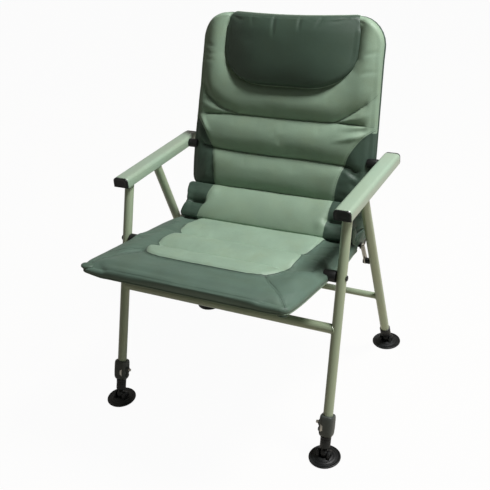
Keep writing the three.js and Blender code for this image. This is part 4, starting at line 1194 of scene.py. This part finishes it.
def seat_face(places):
    """A quilted light panel in a dark border, and cloth stretched over the tube round them."""
    x, s = places[:, 0], places[:, 1]
    side = np.abs(x) / SEAT_HALF
    whole = (2 * s - SEAT_START - SEAT_END) / (SEAT_END - SEAT_START)
    crown = 4.0 * (1 - side ** 4) * (1 - np.abs(whole) ** 6)
    across = np.minimum(*(np.abs(s - seam) for seam in SEAT_CHANNELS))
    light = signed_distance(places, panel_loop)
    in_panel = within(light, 2.0)
    height = 11.0 + crown
    # Channels of the panel, the flatter border, the panel's seam and the crease before the back
    height += (12.5 * puffed(across, 40, 1.9) - 3.5) * in_panel + 1.5 * (1 - in_panel)
    height -= 1.3 * dipped(np.abs(light), 2.5)
    height -= 8.0 * dipped(np.abs(s - SEAT_CREASE), 13)
    # Fuller behind the front bar, inside the side rails and near the right front corner
    height += 4.0 * np.exp(-(((s + 176) / 26) ** 2)) * np.clip((236 - np.abs(x)) / 40, 0, 1)
    height += 3.5 * np.exp(-(((np.abs(x) - 206) / 20) ** 2)) * np.clip((160 - np.abs(s)) / 60, 0, 1)
    height += 4.5 * mound(places, (214, -100), (30, 44))
    for line in MITRES:
        height -= 4.0 * dipped(distance(places, line), 2.6)
    height = folded(height, places, SEAT_FOLDS)
    # Broad waves, and finer ones that gather at the seams
    height += 1.0 * clouds(places, 70, 3.1, (0.8, 1.3))
    height += 0.5 * clouds(places, 22, 7.7, (1.8, 0.8)) * (0.3 + dipped(across, 16))
    # Down to the edge at the sides, where the left one stands higher, and then at the front
    edge = 3.5 + (7.5 + 4.5 * np.exp(-((s - 4) / 22) ** 2)) * (x < 0)
    height = edge + (height - edge) * puffed(SEAT_HALF - np.abs(x), 36, 2.6)
    left = np.clip((60 - x) / 300, 0, 1)
    low = 7.0 - 3.5 * left
    height = low + (height - low) * puffed(s - SEAT_START - SEAT_ROLL, 26 + 6 * left, 2.3)
    height = higher(height, over_tube(places, seat_tube))
    return height + np.where(x < 0, 1.5, -1.0) * seat_corner(places)


def seat_rear(places):
    rise = np.where(places[:, 0] < 0, 7.0, 4.0) * seat_corner(places)
    return SEAT_UNDER + 0.6 * clouds(places, 60, 1.3) + rise


def seat_dark(places):
    return -signed_distance(places, panel_loop)


def seat_overhang(border):
    """How far the face leans out over the rear round the edge, and how round the edge is."""
    belly = np.clip((-border[:, 1] - 150) / 40, 0, 1) * np.exp(-((border[:, 0] - 40) / 120) ** 4)
    return 0.5 + 3.0 * belly, 0.95 - 0.4 * belly


def edge_piping(name, cushion, piece, ring, radius, body, slot, look, outwards=0.8, sides=10):
    """Piping sewn along a ring of a cushion's edge."""
    path = cushion.ring_path(piece, ring, outwards)
    dress(swept(name, path, radius, look, sides=sides, closed=True), body, slot)


seat_pad = seat_cushion.make("seat_cushion", seat, seat_face, seat_rear, seat_dark, "seat_cloth",
                             edge=seat_overhang)
seat_seams = [panel_loop, *MITRES, straight(170, 60), straight(168, -36), straight(240, SEAT_CREASE)]
seat_cushion.fill(seat_pad, seat_seams, SEAT_UNDER + 10, pressure=0.7, cap=3.0)
dress(seat_pad, "seat", "sage_cloth", "seat_pad")
edge_piping("seat_edge_piping", seat_cushion, seat_pad, 6, 1.6, "seat", "sage_cloth", "hem")


def corner_fold(name, root, tip, width, thick):
    """A flat ear of folded cloth at a corner, given in the seat's own coordinates."""
    root, tip = Vector(root), Vector(tip)
    run = tip - root
    across = Vector((0, 0, 1)).cross(run).normalized()
    upwards = run.cross(across).normalized()
    count, sides, rings = 12, 20, []
    for i in range(count):
        share = 0.02 + 0.96 * i / (count - 1)
        full = (1 - abs(2 * share - 1) ** 2.6) ** 0.5
        ring = []
        for k in range(sides):
            turn = 2 * math.pi * k / sides
            ripple = 1 + 0.1 * math.sin(2 * turn + 3 * share)
            spot = root + run * share + across * math.cos(turn) * width / 2 * full
            ring.append(seat.at(*(spot + upwards * math.sin(turn) * thick / 2 * full * ripple)))
        rings.append(ring)
    dress(lofted(name, rings, "gusset_cloth", 80), "seat", "sage_cloth")


corner_fold("seat_corner_fold_upper", (-222, -194, 4), (-248, -212, 7), 26, 12)
corner_fold("seat_corner_fold_lower", (-222, -194, -5), (-240, -203, -8), 22, 9)
corner_fold("seat_corner_fold_right", (216, -188, -9), (241, -212, -12), 24, 8)


# Back cushion

BACK_START = 38
BACK_END = 479
BACK_HALF = 245
BACK_REAR = -16
BACK_ROLL = 11
BACK_WIDTHS = [(BACK_START, 238), (90, 243), (142, 245), (204, 243), (288, 240), (382, 237), (BACK_END, 237)]
SEAM_HIGH = smooth_line([(-240, 226), (-184, 227), (-110, 230), (0, 229), (110, 230), (170, 231),
                         (240, 228)])
SEAM_LOW = smooth_line([(-240, 150), (-206, 146), (-184, 142), (-90, 137), (0, 136), (90, 136), (182, 132),
                        (206, 121), (240, 126)])
HOOP_LEFT = smooth_line([(-240, 316), (-224, 289), (-210, 272), (-187, 256), (-159, 242), (-119, 232)])
HOOP_RIGHT = smooth_line([(240, 312), (226, 290), (186, 259), (158, 240), (140, 232)])
BACK_SEAMS = [SEAM_HIGH, SEAM_LOW, HOOP_LEFT, HOOP_RIGHT]
WING_RIGHT = smooth_line([(248, 228), (216, 200), (191, 163), (177, 129), (166, 87), (161, 40), (160, 0)])
WING_LEFT = smooth_line([(-240, 214), (-223, 203), (-204, 180), (-186, 149), (-176, 120), (-170, 80),
                         (-167, 40), (-166, 0)])
BACK_FOLDS = [
    ([(-236, 226), (-213, 206), (-190, 176)], 6.0, 8.0, 1.0),
    ([(-232, 208), (-210, 180), (-188, 146)], 4.2, -7.0, 1.0),
    ([(-228, 180), (-210, 160), (-194, 140)], 5.0, 5.0, 0.8),
    ([(-226, 168), (-212, 152), (-198, 136)], 4.0, -2.6, 0.5),
    ([(-232, 190), (-226, 170), (-220, 150)], 4.0, -2.0, 0.5),
    ([(246, 227), (218, 208), (180, 196), (140, 186)], 5.0, 5.5, 1.0),
    ([(246, 228), (232, 222), (191, 213), (150, 208)], 4.2, -4.4, 1.0),
    ([(246, 229), (205, 226), (150, 222)], 4.0, 2.6, 1.0),
    ([(177, 129), (203, 113), (232, 104)], 6.0, -3.6, 0.8),
    ([(182, 118), (206, 104), (234, 98)], 6.0, 1.8, 0.5),
    ([(200, 96), (216, 78), (232, 70)], 5.0, -2.4, 0.5),
    ([(-200, 118), (-214, 100), (-232, 92)], 6.0, -2.4, 0.5),
    ([(-176, 100), (-190, 84), (-196, 60)], 6.0, 1.8, 0.5),
    ([(-232, 404), (-208, 395), (-188, 389)], 4.4, -1.6, 0.4),
    ([(-232, 380), (-208, 374), (-186, 373)], 4.4, -1.3, 0.4),
    ([(-230, 364), (-207, 360), (-186, 358)], 4.4, -1.5, 0.4),
    ([(-226, 300), (-205, 285), (-192, 268)], 3.5, -2.4, 0.8),
    ([(-230, 262), (-200, 255), (-176, 246)], 3.0, -2.4, 0.9),
    ([(-230, 250), (-200, 244), (-168, 238)], 3.0, -2.4, 0.9),
    ([(-230, 240), (-206, 236), (-170, 233)], 3.0, -1.0, 0.5),
    ([(196, 262), (178, 258), (160, 248)], 3.4, -1.4, 0.5),
    ([(204, 250), (184, 248), (166, 240)], 3.4, -1.4, 0.5),
    ([(228, 398), (208, 392), (196, 384)], 4.0, -2.0, 0.8),
    ([(230, 354), (208, 350), (192, 344)], 4.0, -2.0, 0.8),
]
PILLOW_LOW = 306
PILLOW_HALF = 176
PILLOW_SHIFT = 7
PILLOW_WIDTHS = [(PILLOW_LOW, PILLOW_HALF), (BACK_END + 1.5, PILLOW_HALF)]

back_plane = Slope(back.at(0, 0, BACK_TUBE_LEAD), BACK_RECLINE, upright=True)
back_cushion = Cushion(BACK_WIDTHS, BACK_ROLL, (18, 18), (58, 58), sag=8,
                       seams=[(136, SEAM_LOW), (229, SEAM_HIGH)])
pillow_cushion = Cushion(PILLOW_WIDTHS, 12, (106, 74), (8, 8), sag=8, cell=3.5)
pillow_cushion.grid[..., 0] += PILLOW_SHIFT
border, away = pillow_cushion.outward()
pillow_edge = (border + away * 8)[::2]
wings = [np.concatenate([WING_RIGHT, [(320, 0), (320, 228)]]),
         np.concatenate([WING_LEFT, [(-320, 0), (-320, 214)]])]
back_tube = np.array(rounded_u(flat_place, BACK_TUBE_X, 0, BACK_BAR_AT, BACK_FRAME_BEND))


def wing_distance(places):
    return np.maximum(*(signed_distance(places, wing) for wing in wings))


def back_face(places):
    """Channels between the seams, crumpled wings beside them and a flat bed under the pillow."""
    x, u = places[:, 0], places[:, 1]
    side = np.abs(x) / BACK_HALF
    whole = (2 * u - BACK_START - BACK_END) / (BACK_END - BACK_START)
    crown = 5.0 * (1 - side ** 4) * (1 - np.abs(whole) ** 4)
    pillow_side = signed_distance(places, pillow_edge)
    away = np.minimum.reduce([*(distance(places, line) for line in BACK_SEAMS), np.abs(u - BACK_START),
                              np.abs(pillow_side)])
    wing = wing_distance(places)
    in_wing = within(wing, 3.0)
    height = 9.5 + crown + 13.5 * puffed(away, 47, 2.6) * (1 - 0.35 * in_wing) - 3.6 * dipped(away, 2.0)
    height -= 3.0 * dipped(np.abs(wing), 4) * (u < 224)
    height = folded(height, places, BACK_FOLDS)
    # Crumples of the wings, puckers along the seams and broad waves
    crumples = 1.6 * clouds(places, 30, 11.0, (0.8, 1.5)) + 0.8 * clouds(places, 14, 5.0, (0.7, 1.6))
    height += in_wing * crumples
    height += 0.5 * clouds(places, 13, 2.2, (1.0, 0.22)) * dipped(away, 20)
    height += 1.2 * clouds(places, 85, 4.4, (0.7, 1.2))
    height = 6.0 + (height - 6.0) * puffed(BACK_HALF - BACK_ROLL - np.abs(x), 46, 2.2)
    height = higher(height, over_tube(places, back_tube))
    under_pillow = np.clip(pillow_side / 8, 0, 1)
    return height + (np.minimum(height, 9.0) - height) * under_pillow


def back_rear(places):
    bulge = 4.0 * (1 - (np.abs(places[:, 0]) / BACK_HALF) ** 4)
    return BACK_REAR - bulge + 0.8 * clouds(places, 70, 6.3)


back_pad = back_cushion.make("back_cushion", back_plane, back_face, back_rear, wing_distance, "sage_cloth")
back_cushion.fill(back_pad, [*BACK_SEAMS, WING_LEFT, WING_RIGHT, pillow_edge], 3, pressure=0.8, cap=2.5)
dress(back_pad, "back", "sage_cloth", "back_pad")
edge_piping("back_edge_piping", back_cushion, back_pad, 5, 1.9, "back", "dark_cloth", "piping")


# Head pillow

PILLOW_FOLDS = [
    ([(-31, 478), (-30, 452), (-24, 412)], 3.6, -2.8, 1.0),
    ([(-21, 478), (-20, 450), (-14, 420)], 5.0, 0.3, 1.0),
    ([(36, 478), (37, 456), (40, 428)], 3.4, -2.4, 1.0),
    ([(26, 478), (27, 452), (30, 430)], 5.0, 0.3, 1.0),
    ([(94, 480), (88, 462), (76, 440)], 4.0, -1.6, 1.0),
    ([(-98, 480), (-92, 462), (-84, 440)], 4.0, -1.6, 1.0),
    ([(150, 470), (130, 462), (104, 458)], 4.5, -1.4, 1.0),
    ([(-152, 470), (-132, 460), (-110, 458)], 4.5, -1.4, 1.0),
]


def pillow_face(places):
    """Full in the middle, less towards the top, with short folds under the top edge."""
    side = np.abs(places[:, 0] - PILLOW_SHIFT) / PILLOW_HALF
    reach = (places[:, 1] - PILLOW_LOW) / (BACK_END - PILLOW_LOW)
    rise = np.sin(np.pi * np.clip(0.05 + 0.78 * np.clip(reach, 0, 1) ** 0.55, 0, 1)) ** 0.62
    height = 12.0 + 38.0 * (1 - side ** 3) * rise
    height -= 7.0 * np.clip((reach - 0.74) / 0.26, 0, 1) ** 1.6
    return folded(height, places, PILLOW_FOLDS) + 1.2 * clouds(places, 60, 9.1, (0.8, 1.2))


def pillow_rear(places):
    """Flat against the back, and down behind its top edge."""
    return 4.0 - 26.5 * ease(np.clip((places[:, 1] - 440) / 18, 0, 1))


def pillow_dark(places):
    """The pillow has one cloth only."""
    return np.full(len(places), -20.0)


pillow = pillow_cushion.make("head_pillow_padded", back_plane, pillow_face, pillow_rear, pillow_dark,
                             "dark_cloth")
pillow_cushion.fill(pillow, [], 14, pressure=0.6, cap=2.5)
dress(pillow, "back", "dark_cloth", "head_pillow")
edge_piping("head_pillow_piping", pillow_cushion, pillow, 4, 1.3, "back", "sage_cloth", "pale_piping",
            outwards=0.6, sides=8)


# Padded panel between the seat and the back

panel_foot = seat.at(0, SEAT_CREASE - 1, 12)
panel_head = back_plane.at(0, BACK_START + 6, 9)
panel_run = panel_head - panel_foot
lower = Slope(panel_foot, math.degrees(math.atan2(panel_run.y, panel_run.z)), upright=True)
PANEL_LENGTH = panel_run.length / MM
LOWER_WIDTHS = [(0, 236), (18, 232), (38, 227), (60, 230), (80, 237), (PANEL_LENGTH, 240)]
lower_cushion = Cushion(LOWER_WIDTHS, 5, (6, 6), (6, 6), cell=3.5)


def lower_dark(places):
    v = places[:, 1]
    left = -np.interp(v, [0, 50, PANEL_LENGTH], [184, 172, 167])
    right = np.interp(v, [0, 50, PANEL_LENGTH], [161, 161, 160])
    return np.maximum(places[:, 0] - right, left - places[:, 0])


def lower_face(places):
    """A roll of padding, with loose dark cloth pinched in the middle of its sides."""
    x, v = places[:, 0], places[:, 1]
    reach = np.clip(v / PANEL_LENGTH, 0, 1)
    dark = lower_dark(places)
    in_dark = within(dark, 3.0)
    inwards = np.clip((234 - np.abs(x)) / 26, 0.15, 1)
    height = 3.0 + 17.0 * np.sin(np.pi * np.clip(0.03 + 0.94 * reach, 0, 1)) ** 0.5 * (1 + 0.05 * in_dark)
    height -= 2.0 * dipped(np.abs(dark), 5)
    crumples = 2.4 * clouds(places, 24, 21.0, (0.6, 1.6))
    height += in_dark * (crumples - 20.0 * dipped(np.abs(v - 43), 8) * inwards)
    height += 3.0 * mound(places, (-156, 74), (13, 15))
    height += 2.8 * mound(places, (148, 30), (12, 12))
    height += 1.2 * clouds(places, 60, 8.0)
    height += 0.5 * clouds(places, 12, 3.3, (1.0, 0.25)) * (dipped(v, 14) + dipped(PANEL_LENGTH - v, 14))
    return height


def lower_rear(places):
    return -9.0 + 10.0 * ease(np.clip((np.abs(places[:, 0]) - 196) / 12, 0, 1))


def blend_at_hinge(piece):
    """Bakes a piece's transform into its mesh; used for the pieces at the hinge between the seat and the back."""
    seat.at(0, 180, 10)
    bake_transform(piece)


lower_panel = lower_cushion.make("lower_back_cushion", lower, lower_face, lower_rear, lower_dark,
                                 "sage_cloth")
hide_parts("lower_back_panel")
blend_at_hinge(lower_panel)


# Side gussets: loose cloth folded over the hinge between the seat and the back

# Sizes in millimetres at angles in degrees, from under the seat up to the back
GUSSET_SIZES = {"left": ([-80, -16, 45, 101], [30, 34, 25, 34]),
                "right": ([-80, -45, -16, 8, 45, 80, 101], [46, 56, 84, 84, 48, 62, 86])}
# Depth, reach, degrees and spread of the dents that clear the stay bolt and link when the chair folds
GUSSET_DENTS = [(7.0, 53, 8, 30), (4.5, 50, 104, 34)]
GUSSET_X = 245.4
GUSSET_THICKNESS = 1.6
GUSSET_TURNS = 64
GUSSET_REACHES = 24


def gusset_wide(side, degrees, share, reach):
    """How far out the cloth lies: ragged creases and small crumples, least at the hinge and the rim."""
    crease = noise.noise(Vector((degrees / 15 + 0.02 * reach, reach / 55, 3.0 + side)))
    small = noise.noise(Vector((degrees / 7, reach / 13, 9.0 + side)))
    crumple = math.sin(math.pi * share) ** 0.6 * (7.5 * (1 - 3.8 * abs(crease)) + 5.5 * small)
    wide = GUSSET_X - (16.0 if degrees > 8 else 6.0) * share ** 3 + min(max(crumple, -9.0), 0.8)
    for deep, far, around, spread in GUSSET_DENTS:
        wide -= deep * math.exp(-((reach - far) / 16) ** 2 - ((degrees - around) / spread) ** 2)
    return wide


def gusset(name, side):
    """A crumpled fan of cloth round the hinge, from under the seat's edge up to the back's."""
    hinge = Vector((0, back_pivot.y, back_pivot.z))
    angles, sizes = GUSSET_SIZES[name]
    outer, inner = [], []
    for i in range(GUSSET_TURNS + 1):
        degrees = angles[0] + (angles[-1] - angles[0]) * i / GUSSET_TURNS
        turn = math.radians(degrees)
        ahead = -seat.along * math.cos(turn) + seat.out * math.sin(turn)
        size = float(np.interp(degrees, angles, sizes))
        for k in range(GUSSET_REACHES + 1):
            share = k / GUSSET_REACHES
            reach = 4 + (size - 4) * share
            wide = gusset_wide(side, degrees, share, reach)
            for skin, thick in ((outer, 0.0), (inner, GUSSET_THICKNESS)):
                skin.append(hinge + ahead * reach * MM + side * (wide - thick) * MM * X_AXIS)
    row, count = GUSSET_REACHES + 1, len(outer)
    faces = quads(GUSSET_TURNS + 1, row)
    faces += [(quad[0], *quad[:0:-1]) for quad in quads(GUSSET_TURNS + 1, row, count)]
    last = GUSSET_TURNS * row
    rim = [*range(row), *range(2 * row - 1, count, row), *range(count - 2, last - 1, -1),
           *range(last - row, 0, -row)]
    faces += [(a, b, count + b, count + a) for a, b in zip(rim, rim[1:] + rim[:1])]
    piece = build(f"hinge_gusset_{name}", outer + inner, faces, "gusset_cloth", 80)
    blend_at_hinge(piece)


for name, side in SIDES:
    gusset(name, side)


# Seam cords and stitches

def stitch_tree():
    """Stitches of thread along the edges of a mesh, one after another."""
    tree = bpy.data.node_groups.new("stitches along a seam", "GeometryNodeTree")
    for label, way, kind in (("Geometry", "INPUT", "Geometry"), ("Spacing", "INPUT", "Float"),
                             ("Stitch length", "INPUT", "Float"), ("Thread thickness", "INPUT", "Float"),
                             ("Thread", "INPUT", "Material"), ("Geometry", "OUTPUT", "Geometry")):
        tree.interface.new_socket(label, in_out=way, socket_type=f"NodeSocket{kind}")
    nodes = Nodes(tree)
    given = tree.nodes.new("NodeGroupInput").outputs
    curve = nodes.add("GeometryNodeMeshToCurve", {"Mesh": given["Geometry"]}, "Curve")
    spots = nodes.add("GeometryNodeCurveToPoints", {"Curve": curve, "Length": given["Spacing"]}, "Points",
                      mode="LENGTH")
    turn = nodes.add("FunctionNodeAlignRotationToVector", {"Vector": spots.node.outputs["Tangent"]},
                     "Rotation", axis="Z")
    bead = nodes.add("GeometryNodeMeshUVSphere", {"Segments": 6, "Rings": 5, "Radius": 0.5}, "Mesh")
    thick = given["Thread thickness"]
    size = nodes.add("ShaderNodeCombineXYZ", {"X": thick, "Y": thick, "Z": given["Stitch length"]}, "Vector")
    stitches = nodes.add("GeometryNodeInstanceOnPoints", {"Points": spots, "Instance": bead,
                                                          "Rotation": turn, "Scale": size}, "Instances")
    real = nodes.add("GeometryNodeRealizeInstances", {"Geometry": stitches}, "Geometry")
    smooth = nodes.add("GeometryNodeSetShadeSmooth", {"Geometry": real}, "Geometry")
    thread = nodes.add("GeometryNodeSetMaterial", {"Geometry": smooth, "Material": given["Thread"]},
                       "Geometry")
    nodes.feed(tree.nodes.new("NodeGroupOutput"), {"Geometry": thread})
    return tree


stitching = stitch_tree()


def laid_on(piece, slope, line, lift, step):
    """A line of a cushion's plane laid on the cushion's face, a little above it."""
    tree = skins[piece.name]
    points = []
    runs = np.linalg.norm(np.diff(line, axis=0), axis=1)
    along = np.concatenate([[0], np.cumsum(runs)])
    for reach in np.linspace(0, runs.sum(), max(int(runs.sum() / step), 2)):
        x = float(np.interp(reach, along, line[:, 0]))
        place = float(np.interp(reach, along, line[:, 1]))
        hit, normal, _, _ = tree.ray_cast(slope.at(x, place, 90), -slope.out)
        if hit is not None and (hit - slope.at(x, place)).dot(slope.out) > -4 * MM:
            points.append(hit + normal * lift * MM)
    return points


def beside(line, offset):
    """The same line moved sideways in its plane."""
    run = np.gradient(line, axis=0)
    away = np.stack([-run[:, 1], run[:, 0]], axis=-1)
    return line + away / (np.linalg.norm(away, axis=1)[:, None] + 1e-9) * offset


def sew(name, piece, slope, lines, body):
    """Rows of stitches on a cushion along lines of its plane."""
    points, edges = [], []
    for line in lines:
        path = laid_on(piece, slope, line, 0.15, 2.5)
        edges += [(len(points) + i, len(points) + i + 1) for i in range(len(path) - 1)]
        points += path
    mesh = bpy.data.meshes.new(name)
    mesh.from_pydata([tuple(p) for p in points], edges, [])
    held = bpy.data.objects.new(name, mesh)
    bpy.context.scene.collection.objects.link(held)
    sewing = held.modifiers.new("stitches", "NODES")
    sewing.node_group = stitching
    socket = {item.name: item.identifier for item in stitching.interface.items_tree
              if item.in_out == "INPUT"}
    for label, size in STITCH.items():
        sewing[socket[label]] = size * MM
    sewing[socket["Thread"]] = looks["thread"]
    graph = bpy.context.evaluated_depsgraph_get()
    made = bpy.data.meshes.new_from_object(held.evaluated_get(graph), depsgraph=graph)
    held.modifiers.remove(sewing)
    held.data = made
    dress(held, body, "sage_cloth")


def seam_cord(name, piece, slope, lines, body, radius):
    """The raised edge of a seam: a thin cord sunk halfway in the cloth."""
    paths = [laid_on(piece, slope, line, -0.1, 3.0) for line in lines]
    cords = [swept("cord", path, radius, "piping", sides=8) for path in paths if len(path) > 2]
    dress(joined(name, cords, "piping"), body, "sage_cloth")


STITCH = {"Spacing": 4.6, "Stitch length": 3.4, "Thread thickness": 0.9}
skins = {piece.name: BVHTree.FromPolygons([v.co for v in piece.data.vertices],
                                          [tuple(p.vertices) for p in piece.data.polygons])
         for piece in (seat_pad, back_pad)}

seam_cord("seat_seam_cords", seat_pad, seat, [*MITRES, panel_loop], "seat", 0.85)
seam_cord("seat_tuck_cords", seat_pad, seat, [smooth_line(tuck) for tuck in SEAT_TUCKS], "seat", 0.8)
sew("seat_stitches", seat_pad, seat,
    [*(beside(line, side * 3.2) for line in MITRES for side in (-1, 1)), beside(panel_half, -3.4),
     beside(panel_half * (-1, 1), 3.4)], "seat")
seam_cord("back_seam_cords", back_pad, back_plane,
          [wing[wing[:, 1] > 44] for wing in (WING_LEFT, WING_RIGHT)], "back", 0.7)
sew("back_stitches", back_pad, back_plane,
    [*(line[np.abs(line[:, 0]) < 236] for line in BACK_SEAMS), beside(WING_LEFT, 3.4),
     beside(WING_RIGHT, -3.4)], "back")


bpy.context.scene.view_settings.view_transform = "Standard"
low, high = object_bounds()
